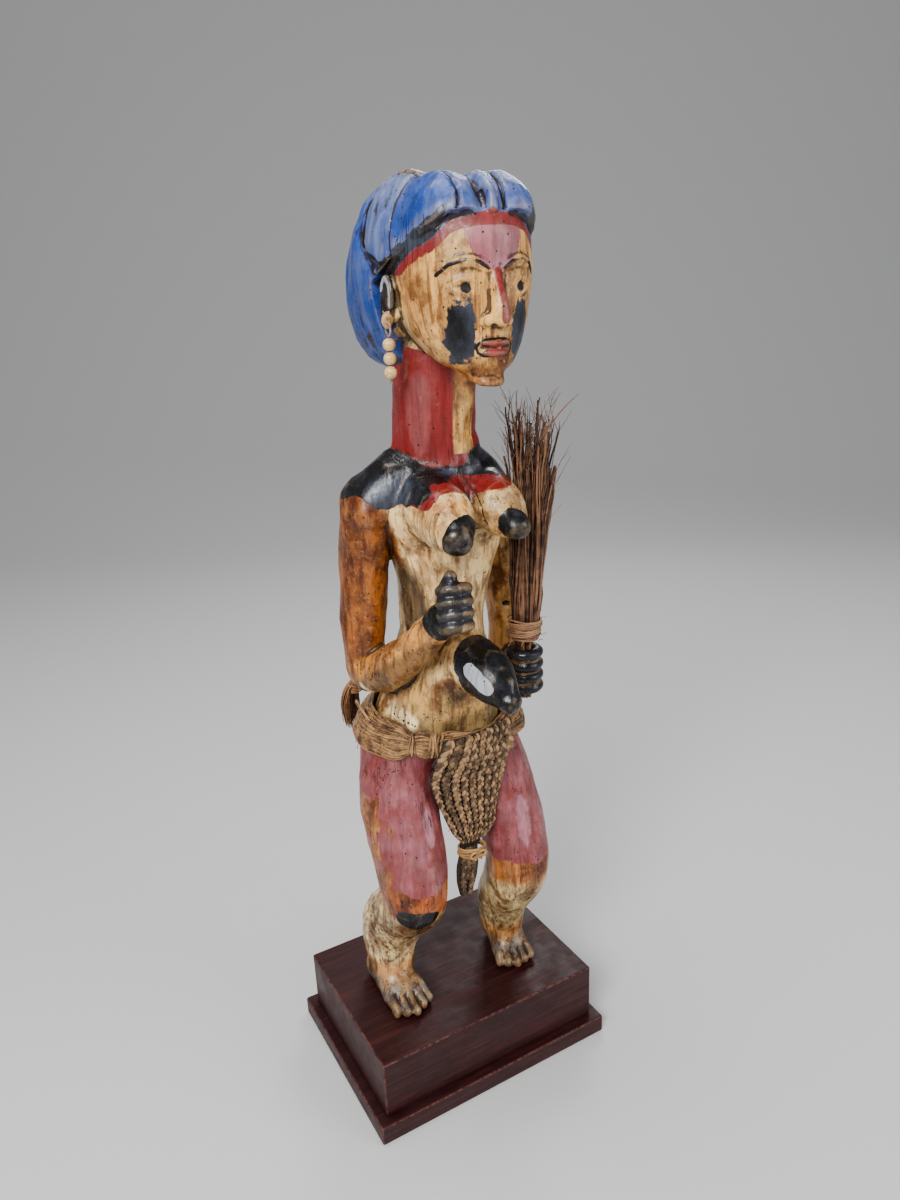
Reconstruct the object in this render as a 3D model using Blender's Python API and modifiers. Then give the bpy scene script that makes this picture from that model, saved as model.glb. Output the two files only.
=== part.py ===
"""Carved ancestor figure on a wooden base, with a fibre belt, apron, earrings and a bundle of twigs.

Run it with blender --background --python part.py, or from the Text Editor.
Metres, +Z up. The origin is the centre of the base's underside and the figure faces -Y.
"""

import math

import bmesh
import bpy
import numpy as np
from mathutils import Matrix, Vector
from mathutils.bvhtree import BVHTree

# Base, in metres
BLOCK_WIDTH = 0.190
BLOCK_DEPTH = 0.1395
BLOCK_HEIGHT = 0.048
BLOCK_EDGE = 0.0012
PLATE_LEDGE = 0.0078
PLATE_HEIGHT = 0.0152
PLATE_EDGE = 0.0014

# Figure, in metres. Its forms below are given in carver's units, 600 of them to its height.
FIGURE_HEIGHT = 0.600
UNITS_TALL = 600.0
HEAD_CENTRE = (3.5, -45.0, 530.0)
HEAD_TURN = math.radians(-6.0)
HEAD_NOD = math.radians(2.0)
HAIRLINE = (0.0, -56.0, 574.0)
LOBE_CENTRE = (31.0, 541.0)
LOBE_SIZE = (29.0, 74.0, 54.0)
LOBE_TILT = -24.0
CROWN_CENTRE = (16.0, -17.0, 567.0)
CROWN_SIZE = (23.0, 40.0, 29.0)
EAR = (43.0, -2.0, 527.0)
LOBE = (45.5, -5.0, 516.0)
FIST = (53.0, -42.0, 269.0)
FIST_GRIP = 19.0
HIP_AXIS = (-4.0, -5.0)
BELT_TIE_ANGLE = math.radians(-118.0)
TUFT_ANGLE = math.radians(138.0)

# Fits, in metres
JOINT_GAP = 0.0003
FIBRE_GAP = 0.0010

# Fibre pieces, in metres
BELT_THICKNESS = 0.0080
BELT_SEGMENTS = 40
APRON_THICKNESS = 0.0050
APRON_RIBS = 8
APRON_ROWS = 22
RIB_RELIEF = 0.0026
TIE_RADIUS = 0.0011
GRIP_RADIUS = 0.0066
GRIP_HOLE_RADIUS = 0.0074

# Earrings, in metres
BEAD_DIAMETER = 0.0078
BEAD_BORE = 0.0024
BEADS = 3
CORD_RADIUS = 0.0007
LOOP_RADIUS = 0.0040
LOBE_HOLE_RADIUS = 0.0016

# Fineness of the carved solid
VOXEL = 0.0016
FIGURE_TRIANGLES = 6300

SOLE_HEIGHT = PLATE_HEIGHT + BLOCK_HEIGHT + JOINT_GAP
UNIT = FIGURE_HEIGHT / UNITS_TALL


def clear_scene():
    for obj in list(bpy.data.objects):
        bpy.data.objects.remove(obj)


def make_collection(name, hidden=False):
    collection = bpy.data.collections.new(name)
    bpy.context.scene.collection.children.link(collection)
    collection.hide_render = hidden
    return collection


def make_material(name, colour, roughness):
    material = bpy.data.materials.new(name)
    material.use_nodes = True
    shader = material.node_tree.nodes["Principled BSDF"]
    shader.inputs["Base Color"].default_value = (*colour, 1.0)
    shader.inputs["Roughness"].default_value = roughness
    return material


def place(obj, collection, material):
    """Moves a new object into its collection and gives it its material."""
    for other in list(obj.users_collection):
        other.objects.unlink(obj)
    collection.objects.link(obj)
    obj.data.materials.clear()
    obj.data.materials.append(material)
    return obj


def mesh_object(name, bm, collection, material):
    mesh = bpy.data.meshes.new(name)
    bm.to_mesh(mesh)
    bm.free()
    obj = bpy.data.objects.new(name, mesh)
    bpy.context.scene.collection.objects.link(obj)
    return place(obj, collection, material)


def shade(mesh, sharp_degrees=40.0):
    mesh.shade_smooth()
    mesh.set_sharp_from_angle(angle=math.radians(sharp_degrees))


def evaluated_mesh(obj):
    """The object's mesh with its modifiers, as plain data."""
    bpy.context.view_layer.update()
    graph = bpy.context.evaluated_depsgraph_get()
    return bpy.data.meshes.new_from_object(obj.evaluated_get(graph))


# Carving tools: closed forms that overlap, to be fused into one solid


def turned(point, angle):
    """x and y turned about the upright axis."""
    c, s = math.cos(angle), math.sin(angle)
    return (c * point[0] - s * point[1], s * point[0] + c * point[1])


def smooth_run(stations, steps):
    """A Catmull-Rom run through rows of numbers, with steps rows to each span."""
    rows = np.array(stations, float)
    padded = np.vstack([2 * rows[0] - rows[1], rows, 2 * rows[-1] - rows[-2]])
    run = []
    for i in range(1, len(padded) - 2):
        a, b, c, d = padded[i - 1 : i + 3]
        for t in np.linspace(0, 1, steps, endpoint=False):
            run.append(
                0.5
                * (
                    2 * b
                    + (c - a) * t
                    + (2 * a - 5 * b + 4 * c - d) * t**2
                    + (3 * b - a - 3 * c + d) * t**3
                )
            )
    run.append(rows[-1])
    return np.array(run)


def skin(bm, rings):
    """Joins closed rings of points into a shell, with a fan at each end."""
    loops = [[bm.verts.new(p) for p in ring] for ring in rings]
    count = len(loops[0])
    for low, high in zip(loops, loops[1:]):
        for i in range(count):
            j = (i + 1) % count
            bm.faces.new((low[i], low[j], high[j], high[i]))
    for loop in (loops[0][::-1], loops[-1]):
        bm.faces.new(loop)


def limb(bm, stations, side=(1, 0, 0), sides=20, steps=5, level=False, round_ends=True):
    """A form through stations of (x, y, z, half width, half depth), with domed ends."""
    run = smooth_run(stations, steps)
    centres, sizes = run[:, :3], run[:, 3:]
    tangents = np.gradient(centres, axis=0)
    tangents /= np.linalg.norm(tangents, axis=1)[:, None]
    if round_ends:
        reach = sizes.min(axis=1)
        domes = [(0.45, 0.90), (0.78, 0.62), (0.95, 0.28)]
        first = [(centres[0] - tangents[0] * reach[0] * d, sizes[0] * k, tangents[0])
                 for d, k in reversed(domes)]
        last = [(centres[-1] + tangents[-1] * reach[-1] * d, sizes[-1] * k, tangents[-1])
                for d, k in domes]
    else:
        first = last = []
    rows = first + list(zip(centres, sizes, tangents)) + last
    rings = []
    for centre, (width, depth), tangent in rows:
        along = np.array((0.0, 0.0, 1.0)) if level else tangent
        across = np.array(side, float) - np.dot(side, along) * along
        across /= np.linalg.norm(across)
        deep = np.cross(along, across)
        angles = np.linspace(0, 2 * math.pi, sides, endpoint=False)
        ring = (
            centre
            + np.outer(np.cos(angles), across) * width
            + np.outer(np.sin(angles), deep) * depth
        )
        rings.append([in_metres(p) for p in ring])
    skin(bm, rings)


def ball(bm, centre, radii, tilt=(0, 0, 0)):
    """An ellipsoid, with tilt in degrees about X, Y and Z."""
    turn = Matrix.Rotation(math.radians(tilt[2]), 4, "Z")
    turn @= Matrix.Rotation(math.radians(tilt[1]), 4, "Y")
    turn @= Matrix.Rotation(math.radians(tilt[0]), 4, "X")
    size = Matrix.Diagonal((*(r * UNIT for r in radii), 1.0))
    matrix = Matrix.Translation(in_metres(centre)) @ turn @ size
    bmesh.ops.create_uvsphere(bm, u_segments=24, v_segments=16, radius=1.0, matrix=matrix)


def in_metres(point):
    """Carver's units above the soles to metres above the base's underside."""
    return Vector((point[0] * UNIT, point[1] * UNIT, point[2] * UNIT + SOLE_HEIGHT))


def in_head(point):
    """A point in the head's own frame (x sideways, y back, z up from the soles) to the figure's."""
    c, s = math.cos(HEAD_NOD), math.sin(HEAD_NOD)
    y, z = point[1], point[2] - HEAD_CENTRE[2]
    y, z = c * y - s * z, s * y + c * z
    x, y = turned((point[0], y), HEAD_TURN)
    return (HEAD_CENTRE[0] + x, HEAD_CENTRE[1] + y, HEAD_CENTRE[2] + z)


def head_vector(vector):
    """A direction in the head's frame to the figure's."""
    start, end = in_head((0, 0, HEAD_CENTRE[2])), in_head((*vector[:2], HEAD_CENTRE[2] + vector[2]))
    return tuple(e - s for s, e in zip(start, end))


def head_run(stations):
    return [(*in_head(row[:3]), *row[3:]) for row in stations]


def head_tilt(x=0.0, y=0.0, z=0.0):
    """The turns of an ellipsoid in the head's frame, in degrees."""
    return (x + math.degrees(HEAD_NOD), y, z + math.degrees(HEAD_TURN))


def carve_legs(bm):
    right = [
        (-33, -4, 212, 30, 34),
        (-41, -12, 184, 29, 31),
        (-43, -22, 150, 28, 29),
        (-42, -30, 122, 26, 27),
        (-41, -28, 98, 24, 25),
        (-43, -12, 80, 24, 24),
        (-46, 2, 62, 25, 25),
        (-49, 6, 42, 21, 22),
        (-49, 4, 24, 18, 19),
    ]
    left = [
        (30, -4, 212, 30, 34),
        (41, -14, 176, 28, 30),
        (48, -26, 136, 26, 28),
        (50, -32, 102, 25, 27),
        (49, -26, 80, 24, 25),
        (48, -14, 60, 22, 22),
        (49, -8, 40, 19, 20),
        (50, -6, 22, 17, 18),
    ]
    limb(bm, right)
    limb(bm, left)
    ball(bm, (-40, -42, 104), (17, 13, 16))
    ball(bm, (50, -44, 88), (16, 13, 15))


def carve_foot(bm, heel, toe, half_width):
    """A foot from heel to toe, given on the ground, with five toes."""
    heel, toe = Vector(heel), Vector(toe)
    ahead = (toe - heel).normalized()
    across = Vector((-ahead.y, ahead.x, 0))
    length = (toe - heel).length

    def spot(along, aside, height):
        return tuple(heel + ahead * along * length + across * aside + Vector((0, 0, height)))

    stations = [
        (*spot(0.10, 0, 12), 0.72 * half_width, 13),
        (*spot(0.34, 0, 13), 0.82 * half_width, 16),
        (*spot(0.60, 0, 8), 0.95 * half_width, 12),
        (*spot(0.80, 0, 5), half_width, 8),
    ]
    limb(bm, stations, side=tuple(across), level=False)
    for i in range(5):
        aside = (i - 2) / 2 * 0.80 * half_width
        reach = 1.0 - 0.05 * abs(i - 2)
        toes = [
            (*spot(0.66, aside * 0.92, 6.5), 3.6, 5.0),
            (*spot(reach - 0.06, aside, 4.0), 3.9, 4.2),
        ]
        limb(bm, toes, side=tuple(across), sides=12, steps=3)


def carve_torso(bm):
    trunk = [
        (-3, 0, 197, 22, 20),
        (-4, 0, 207, 46, 34),
        (-4, -5, 224, 53, 43),
        (-3, -9, 248, 45, 43),
        (-1, -13, 270, 38, 44),
        (0, -14, 286, 33, 42),
        (1, -13, 302, 29, 36),
        (2, -14, 322, 30, 33),
        (3, -17, 344, 33, 33),
        (3, -19, 368, 40, 35),
        (3, -20, 392, 50, 35),
        (3, -19, 408, 50, 32),
        (3, -19, 422, 40, 28),
        (3, -19, 432, 28, 26),
    ]
    limb(bm, trunk, level=True, sides=28)
    for side in (-1, 1):
        ball(bm, (side * 24 - 3, 14, 214), (25, 27, 28))
    navel = [
        (1, -52, 292, 19, 19),
        (3, -70, 287, 18, 18),
        (5, -84, 280, 14, 15),
        (6, -93, 274, 9, 9),
    ]
    limb(bm, navel, sides=20)
    right_breast = [
        (-18, -44, 400, 22, 23),
        (-20, -62, 397, 20, 21),
        (-23, -80, 392, 14, 15),
        (-25, -94, 388, 7, 7.5),
    ]
    left_breast = [
        (23, -42, 398, 21, 22),
        (25, -58, 394, 19, 19),
        (27, -73, 388, 13, 13),
        (28, -84, 384, 7, 7),
    ]
    limb(bm, right_breast)
    limb(bm, left_breast)
    yoke = [
        (-46, -9, 397, 20, 23),
        (-26, -14, 414, 21, 25),
        (0, -17, 419, 22, 26),
        (25, -16, 410, 21, 25),
        (40, -12, 398, 18, 22),
    ]
    limb(bm, yoke, side=(0, 0, 1))


def carve_fist(bm, centre, knuckles, palm_down, grip=17.0):
    """A closed fist: knuckles is the way that the fingers stack, palm_down the way the hand points."""
    centre = Vector(centre)
    stack = Vector(knuckles).normalized()
    ahead = Vector(palm_down).normalized()
    out = stack.cross(ahead).normalized()
    for i in range(4):
        level = (i - 1.5) * 0.46 * grip
        ring = []
        for turn in np.linspace(-0.35, 1.05, 6) * math.pi:
            point = centre + stack * level
            point += out * math.cos(turn) * 0.52 * grip + ahead * math.sin(turn) * 0.52 * grip
            ring.append((*point, 4.4, 4.6))
        limb(bm, ring, side=tuple(stack), sides=12, steps=3)
    ball(bm, tuple(centre), (0.62 * grip, 0.62 * grip, 1.0 * grip))


def carve_arms(bm):
    right_upper = [
        (-46, -8, 400, 20, 23),
        (-49, -2, 372, 17, 22),
        (-50, 4, 336, 16, 21),
        (-51, 8, 300, 15, 19),
        (-50, 8, 276, 15, 17),
    ]
    right_fore = [
        (-50, 6, 276, 15, 16),
        (-46, -18, 284, 15, 16),
        (-40, -44, 303, 13, 14),
        (-34, -64, 323, 11, 12),
        (-31, -74, 333, 10, 12),
    ]
    limb(bm, right_upper)
    limb(bm, right_fore)
    carve_fist(bm, (-28, -84, 343), (0.1, 0.25, 1), (0.35, -0.9, 0.3))
    thumb = [(-30, -78, 354, 5, 5), (-29, -84, 364, 4.6, 4.6)]
    limb(bm, thumb, sides=12, steps=3)
    left_upper = [
        (44, -12, 398, 17, 22),
        (54, -8, 366, 15, 20),
        (61, -5, 330, 15, 19),
        (65, -3, 292, 15, 18),
        (65, -3, 266, 15, 16),
    ]
    left_fore = [(65, -4, 264, 14, 14), (61, -20, 265, 12, 13), (57, -32, 268, 11, 12)]
    limb(bm, left_upper)
    limb(bm, left_fore)
    carve_fist(bm, FIST, (0, 0, 1), (-0.3, -0.9, 0), FIST_GRIP)


def carve_head(bm):
    neck = [
        (-1, -16, 418, 32, 29),
        (-1, -18, 438, 28, 27),
        (0, -20, 462, 27, 27),
        (1, -22, 492, 27, 28),
    ]
    limb(bm, neck, sides=24, level=True)
    face = [
        (0, -40, 485, 12, 12),
        (0, -31, 492, 22, 25),
        (0, -21, 502, 30, 36),
        (0, -14, 514, 36, 44),
        (0, -9, 528, 40, 50),
        (0, -6, 543, 42, 53),
        (0, -4, 564, 41, 53),
        (0, 0, 577, 34, 47),
        (0, 6, 587, 12, 24),
    ]
    limb(bm, head_run(face), side=head_vector((1, 0, 0)), level=True, sides=32)
    nose = [(0, -56, 540, 4, 5), (0, -62, 526, 5, 6), (0, -64, 516, 7.5, 6)]
    limb(bm, head_run(nose), side=head_vector((1, 0, 0)), sides=14)
    for height, depth, size in ((503.0, -54.5, 4.0), (497.5, -53.0, 4.4)):
        ball(bm, in_head((0, depth, height)), (11.5, 6, size * 0.8), head_tilt())
    for side in (-1, 1):
        brow = [
            (side * 5, -57, 543, 3, 3),
            (side * 16, -54.5, 546.5, 3.2, 3),
            (side * 29, -43, 544, 2.6, 2.4),
        ]
        limb(bm, head_run(brow), side=(0, 0, 1), sides=10, steps=4)
        ball(bm, in_head((side * 17, -50, 534)), (8.5, 4.5, 4.2), head_tilt(z=side * 22))
        carve_ear(bm, side)


def carve_ear(bm, side):
    rim = []
    for turn in np.linspace(-0.55, 1.15, 8) * math.pi:
        y = EAR[1] + 7.5 * math.sin(turn - 0.3)
        z = EAR[2] + 12.5 * math.cos(turn - 0.1)
        rim.append((side * (EAR[0] + 1.5), y, z, 2.6, 3.0))
    limb(bm, head_run(rim), side=head_vector((1, 0, 0)), sides=10, steps=3)
    ball(bm, in_head((side * (EAR[0] - 3), EAR[1], EAR[2])), (4, 8, 13), head_tilt())
    ball(bm, in_head((side * LOBE[0], LOBE[1], LOBE[2])), (4.2, 3.2, 5.6), head_tilt())


def carve_coiffure(bm):
    hairline = in_head(HAIRLINE)
    for side in (-1, 1):
        lobe = in_head((side * LOBE_SIZE[0] * 0.76, *LOBE_CENTRE))
        tilt = head_tilt(x=LOBE_TILT)
        cut_ball(bm, lobe, LOBE_SIZE, tilt, hairline, head_vector((0, 0.47, 0.88)))
        cut_ball(bm, lobe, LOBE_SIZE, tilt, in_head((0, 12, 540)), head_vector((0, 1, 0)))
        crown = in_head((side * CROWN_CENTRE[0], *CROWN_CENTRE[1:]))
        cut_ball(bm, crown, CROWN_SIZE, head_tilt(), hairline, head_vector((0, 0.47, 0.88)))
    ridge = [
        (0, -53, 575, 3.5, 4),
        (0, -49, 583, 4, 4.5),
        (0, -36, 587, 4.5, 6),
        (0, -10, 586, 5, 7),
        (0, 20, 576, 6, 8),
        (0, 48, 554, 7, 9),
        (0, 62, 528, 7, 9),
    ]
    limb(bm, head_run(ridge), side=head_vector((1, 0, 0)), sides=14)
    ball(bm, in_head((0, 26, 537)), (30, 68, 51), head_tilt(x=LOBE_TILT))


def cut_ball(bm, centre, radii, tilt, at, keep):
    """An ellipsoid whose part behind a plane is cut off and closed flat."""
    piece = bmesh.new()
    ball(piece, centre, radii, tilt)
    geometry = piece.verts[:] + piece.edges[:] + piece.faces[:]
    cut = bmesh.ops.bisect_plane(
        piece, geom=geometry, plane_co=in_metres(at), plane_no=Vector(keep), clear_inner=True
    )
    edges = [item for item in cut["geom_cut"] if isinstance(item, bmesh.types.BMEdge)]
    bmesh.ops.edgenet_fill(piece, edges=edges)
    bmesh.ops.recalc_face_normals(piece, faces=piece.faces)
    mesh = bpy.data.meshes.new("cut_ball")
    piece.to_mesh(mesh)
    piece.free()
    bm.from_mesh(mesh)
    bpy.data.meshes.remove(mesh)


def fused(name, carve, collection, material, triangles):
    """All the forms of one carving fused, smoothed and brought down to its count."""
    bm = bmesh.new()
    carve(bm)
    bmesh.ops.triangulate(bm, faces=bm.faces)
    bmesh.ops.recalc_face_normals(bm, faces=bm.faces)
    obj = mesh_object(name, bm, collection, material)
    remesh = obj.modifiers.new("Fuse", "REMESH")
    remesh.mode = "VOXEL"
    remesh.voxel_size = VOXEL
    smooth = obj.modifiers.new("Smooth", "SMOOTH")
    smooth.factor = 0.5
    smooth.iterations = 4
    mesh = evaluated_mesh(obj)
    obj.modifiers.clear()
    obj.data = mesh
    flatten_soles(obj.data)
    thin = obj.modifiers.new("Decimate", "DECIMATE")
    thin.ratio = min(1.0, triangles / sum(len(p.vertices) - 2 for p in mesh.polygons))
    obj.data = evaluated_mesh(obj)
    obj.modifiers.clear()
    return place(obj, collection, material)


def flatten_soles(mesh):
    """Presses the soles flat onto the base."""
    for vertex in mesh.vertices:
        vertex.co.z = max(vertex.co.z, SOLE_HEIGHT)


def carve_figure(bm):
    carve_legs(bm)
    carve_foot(bm, (-54, 24, 0), (-50, -44, 0), 18.0)
    carve_foot(bm, (55, 12, 0), (44, -41, 0), 17.0)
    carve_torso(bm)
    carve_arms(bm)
    carve_head(bm)
    carve_coiffure(bm)




def grip_cutter(cutters, material):
    """The round hole down through the left fist."""
    bm = bmesh.new()
    matrix = Matrix.Translation(in_metres(FIST))
    bmesh.ops.create_cone(
        bm,
        cap_ends=True,
        segments=14,
        radius1=GRIP_HOLE_RADIUS,
        radius2=GRIP_HOLE_RADIUS,
        depth=3.0 * FIST_GRIP * UNIT,
        matrix=matrix,
    )
    return mesh_object("grip_hole", bm, cutters, material)


def cut(obj, cutter):
    """Takes the cutter's shape out of the object."""
    cutter.display_type = "WIRE"
    modifier = obj.modifiers.new(cutter.name, "BOOLEAN")
    modifier.operation = "DIFFERENCE"
    modifier.solver = "EXACT"
    modifier.object = cutter


def tree_of(obj):
    return BVHTree.FromObject(obj, bpy.context.evaluated_depsgraph_get())


def hip_radius(tree, angle, height):
    """How far the hips reach from their upright axis, in metres, in one direction."""
    axis = in_metres((*HIP_AXIS, height))
    out = Vector((math.cos(angle), math.sin(angle), 0))
    hit = tree.ray_cast(axis + out * 0.12, -out)[0]
    return (hit - axis).length


def belt_height(angle):
    """The belt's middle, in carver's units: highest behind the right hip."""
    return 232.0 + 5.0 * math.cos(angle - math.radians(150.0))


def belt_rows(tree):
    """For each angle round the hips: its middle and half height in units, and in metres the body's
    reach at three heights and the belt's thickness."""
    rows = []
    for i in range(BELT_SEGMENTS):
        angle = 2 * math.pi * i / BELT_SEGMENTS
        middle = belt_height(angle)
        off = (angle - BELT_TIE_ANGLE + math.pi) % (2 * math.pi) - math.pi
        cinch = math.exp(-((off / math.radians(9.0)) ** 2))
        behind_apron = math.exp(-(((off - math.radians(45.0)) / math.radians(34.0)) ** 4))
        half = 13.0 - 4.5 * cinch - 5.0 * behind_apron
        clear = FIBRE_GAP + cinch * 2.6 * TIE_RADIUS
        reach = [body_reach(tree, angle, middle + half * rise) + clear for rise in (-0.8, 0.0, 0.8)]
        reach[1] = max(reach[1], (reach[0] + reach[2]) / 2)
        thick = BELT_THICKNESS * (1 - 0.35 * cinch - 0.55 * behind_apron)
        rows.append((angle, middle, half, reach, thick))
    return rows


def body_reach(tree, angle, height):
    """The farthest reach of the hips about one direction and height."""
    turns = [math.radians(turn) for turn in (-6.0, -3.0, 0.0, 3.0, 6.0)]
    return max(hip_radius(tree, angle + turn, height + up) for turn in turns for up in (-2.5, 2.5))


def make_belt(name, rows, collection, material):
    """A hank round the hips, its section flattened against the body."""
    section = [
        (0.0, -0.8),
        (0.0, 0.0),
        (0.0, 0.8),
        (0.45, 1.0),
        (0.9, 0.6),
        (1.0, 0.0),
        (0.9, -0.6),
        (0.45, -1.0),
    ]
    bm = bmesh.new()
    rings = []
    for angle, middle, half, reach, thick in rows:
        out = Vector((math.cos(angle), math.sin(angle), 0))
        ring = []
        for depth, rise in section:
            inner = np.interp(rise, (-0.8, 0.0, 0.8), reach)
            at = in_metres((*HIP_AXIS, middle + half * rise))
            ring.append(bm.verts.new(at + out * (inner + thick * depth)))
        rings.append(ring)
    bridge(bm, rings, closed=True)
    return mesh_object(name, bm, collection, material)


def bridge(bm, rings, closed=False):
    """Faces between rings of vertices."""
    pairs = list(zip(rings, rings[1:] + rings[:1])) if closed else list(zip(rings, rings[1:]))
    for low, high in pairs:
        for i in range(len(low)):
            j = (i + 1) % len(low)
            bm.faces.new((low[i], low[j], high[j], high[i]))
    bmesh.ops.recalc_face_normals(bm, faces=bm.faces)


def make_tube(name, points, radius, collection, material, closed=False):
    """A cord along points in metres, with filled ends."""
    curve = bpy.data.curves.new(name, "CURVE")
    curve.dimensions = "3D"
    curve.bevel_depth = radius
    curve.bevel_resolution = 0
    curve.use_fill_caps = not closed
    spline = curve.splines.new("POLY")
    spline.points.add(len(points) - 1)
    for target, point in zip(spline.points, points):
        target.co = (*point, 1.0)
    spline.use_cyclic_u = closed
    holder = bpy.data.objects.new(name + "_path", curve)
    bpy.context.scene.collection.objects.link(holder)
    mesh = evaluated_mesh(holder)
    bpy.data.objects.remove(holder)
    obj = bpy.data.objects.new(name, mesh)
    bpy.context.scene.collection.objects.link(obj)
    return place(obj, collection, material)


def nearest_row(rows, angle):
    return min(rows, key=lambda row: abs((row[0] - angle + math.pi) % (2 * math.pi) - math.pi))


def make_belt_tie(rows, collection, material):
    """The cord wound once round the belt where it is drawn in."""
    angle, middle, half, reach, thick = nearest_row(rows, BELT_TIE_ANGLE)
    out = Vector((math.cos(angle), math.sin(angle), 0))
    clear = JOINT_GAP + 1.3 * TIE_RADIUS
    points = []
    for turn in np.linspace(0, 2 * math.pi, 16, endpoint=False):
        rise = 1.15 * math.sin(turn)
        inner = np.interp(rise, (-0.8, 0.0, 0.8), reach)
        across = abs(math.cos(turn)) ** 0.5 * math.copysign(1, math.cos(turn))
        at = in_metres((*HIP_AXIS, middle + half * rise + clear / UNIT * math.sin(turn)))
        points.append(at + out * (inner + thick / 2 + (thick / 2 + clear) * across))
    return make_tube("belt_tie", points, TIE_RADIUS, collection, material, closed=True)


def pushed_out(point, tree, gap):
    """The point, moved clear of the carved figure where it comes nearer than the gap."""
    near, normal, _, distance = tree.find_nearest(point)
    inside = (point - near).dot(normal) < 0
    return near + normal * gap if inside or distance < gap else point


def over_belt(point, rows):
    """The point, moved out over the belt where it is level with it."""
    axis = in_metres((*HIP_AXIS, 0))
    offset = Vector((point.x - axis.x, point.y - axis.y, 0))
    height = (point.z - SOLE_HEIGHT) / UNIT
    needed = belt_reach(rows, math.atan2(offset.y, offset.x), height) + FIBRE_GAP
    if offset.length >= needed:
        return point
    return point + offset.normalized() * (needed - offset.length)


def make_apron(tree, rows, collection, material):
    """The knotted apron: a row of ribs, each a run of knots, over a flat back."""
    outline = [
        (238, 8, 24),
        (221, 6, 26),
        (211, 2.5, 31),
        (200, 2, 30),
        (180, 3, 26),
        (162, 5, 21),
        (150, 5, 18),
        (141, 3, 9),
        (135, 1.5, 6.5),
        (129, 0.5, 8),
        (118, 0, 9.5),
        (104, -0.5, 8.5),
        (91, -1, 5),
    ]
    levels = np.linspace(0, len(outline) - 1, APRON_ROWS)
    shape = np.array(outline, float)
    index = np.arange(len(outline))
    columns = APRON_RIBS * 2 + 1
    drape = []
    for step in levels:
        height, middle, half = (np.interp(step, index, shape[:, k]) for k in range(3))
        row = []
        for aside in np.linspace(-1, 1, columns):
            x = middle + aside * half
            base = in_metres((x, apron_depth(x, height), height))
            row.append(over_belt(pushed_out(base, tree, FIBRE_GAP + 0.0006), rows))
        drape.append(row)
    for _ in range(30):
        drape = hung(drape)
    fronts, backs = [], []
    for level, row in enumerate(drape):
        front, back = [], []
        for column, base in enumerate(row):
            out = 0.0 if column % 2 == 0 else RIB_RELIEF
            knot = 0.0008 if level % 2 and out else 0.0
            if column % 4 == 0:
                back.append(base)
            thick = APRON_THICKNESS * (0.75 if column in (0, columns - 1) else 1.0)
            front.append(base - Vector((0, thick + out - knot, 0)))
        fronts.append(front)
        backs.append(back)
    bm = bmesh.new()
    rings = []
    for front, back in zip(fronts, backs):
        rings.append([bm.verts.new(p) for p in front + back[::-1]])
    bridge(bm, rings)
    bm.faces.new(rings[0])
    bm.faces.new(rings[-1][::-1])
    bmesh.ops.recalc_face_normals(bm, faces=bm.faces)
    return mesh_object("loincloth", bm, collection, material)


def hung(drape):
    """The drape with each row brought forward to the mean of those above and below it."""
    result = [drape[0]]
    for above, row, below in zip(drape, drape[1:], drape[2:]):
        moved = []
        for high, point, low in zip(above, row, below):
            moved.append(Vector((point.x, min(point.y, (high.y + low.y) / 2), point.z)))
        result.append(moved)
    return result + [drape[-1]]


def apron_depth(x, height):
    """How far forward the apron's back hangs, in carver's units."""
    belly = -54 + 0.011 * (x - 2) ** 2
    hanging = -41 + 0.006 * x**2
    blend = min(1.0, max(0.0, (230 - height) / 60.0))
    low = min(1.0, max(0.0, (145 - height) / 50.0))
    return belly * (1 - blend) + hanging * blend + 6.0 * low


def make_apron_tie(collection, material):
    """The cord gathered round the apron's narrow part."""
    centre = (1.5, apron_depth(1.5, 135) - 4.0, 135)
    points = []
    for turn in np.linspace(0, 2 * math.pi, 18, endpoint=False):
        x = centre[0] + 11.0 * math.cos(turn)
        y = centre[1] + 8.6 * math.sin(turn)
        points.append(in_metres((x, y, centre[2] + 1.5 * math.cos(turn))))
    return make_tube("loincloth_tie", points, 1.6 * TIE_RADIUS, collection, material, closed=True)


def belt_reach(rows, angle, height):
    """How far the belt reaches from the hips' axis, in metres, or 0 above and below it."""
    found = 0.0
    for turn in (-5, 0, 5):
        _, middle, half, reach, thick = nearest_row(rows, angle + math.radians(turn))
        if abs(height - middle) < half + 3.0:
            found = max(found, max(reach) + thick)
    return found


def make_tuft(rows, tree, collection, material):
    """The short brush of fibre behind the right hip, hung over the belt."""
    out = Vector((math.cos(TUFT_ANGLE), math.sin(TUFT_ANGLE), 0))
    side = Vector((-out.y, out.x, 0))
    axis = in_metres((*HIP_AXIS, 0))
    stations = [
        (256, 0.0600, 0.0050, 0.0070),
        (249, 0.0632, 0.0068, 0.0105),
        (240, 0.0652, 0.0076, 0.0125),
        (230, 0.0648, 0.0072, 0.0120),
        (219, 0.0636, 0.0050, 0.0090),
    ]
    bm = bmesh.new()
    rings = []
    for height, reach, depth, width in stations:
        ring = []
        for k in range(16):
            turn = 2 * math.pi * k / 16
            flute = 1.0 if k % 2 else 0.84
            offset = out * (reach + depth * math.cos(turn) * flute)
            offset += side * width * math.sin(turn) * flute
            needed = belt_reach(rows, math.atan2(offset.y, offset.x), height) + FIBRE_GAP
            if offset.length < needed:
                offset *= needed / offset.length
            point = axis + offset + Vector((0, 0, height * UNIT))
            ring.append(bm.verts.new(pushed_out(point, tree, FIBRE_GAP)))
        rings.append(ring)
    bridge(bm, rings)
    bm.faces.new(rings[0])
    bm.faces.new(rings[-1][::-1])
    bmesh.ops.recalc_face_normals(bm, faces=bm.faces)
    return mesh_object("fibre_tuft", bm, collection, material)


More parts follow.
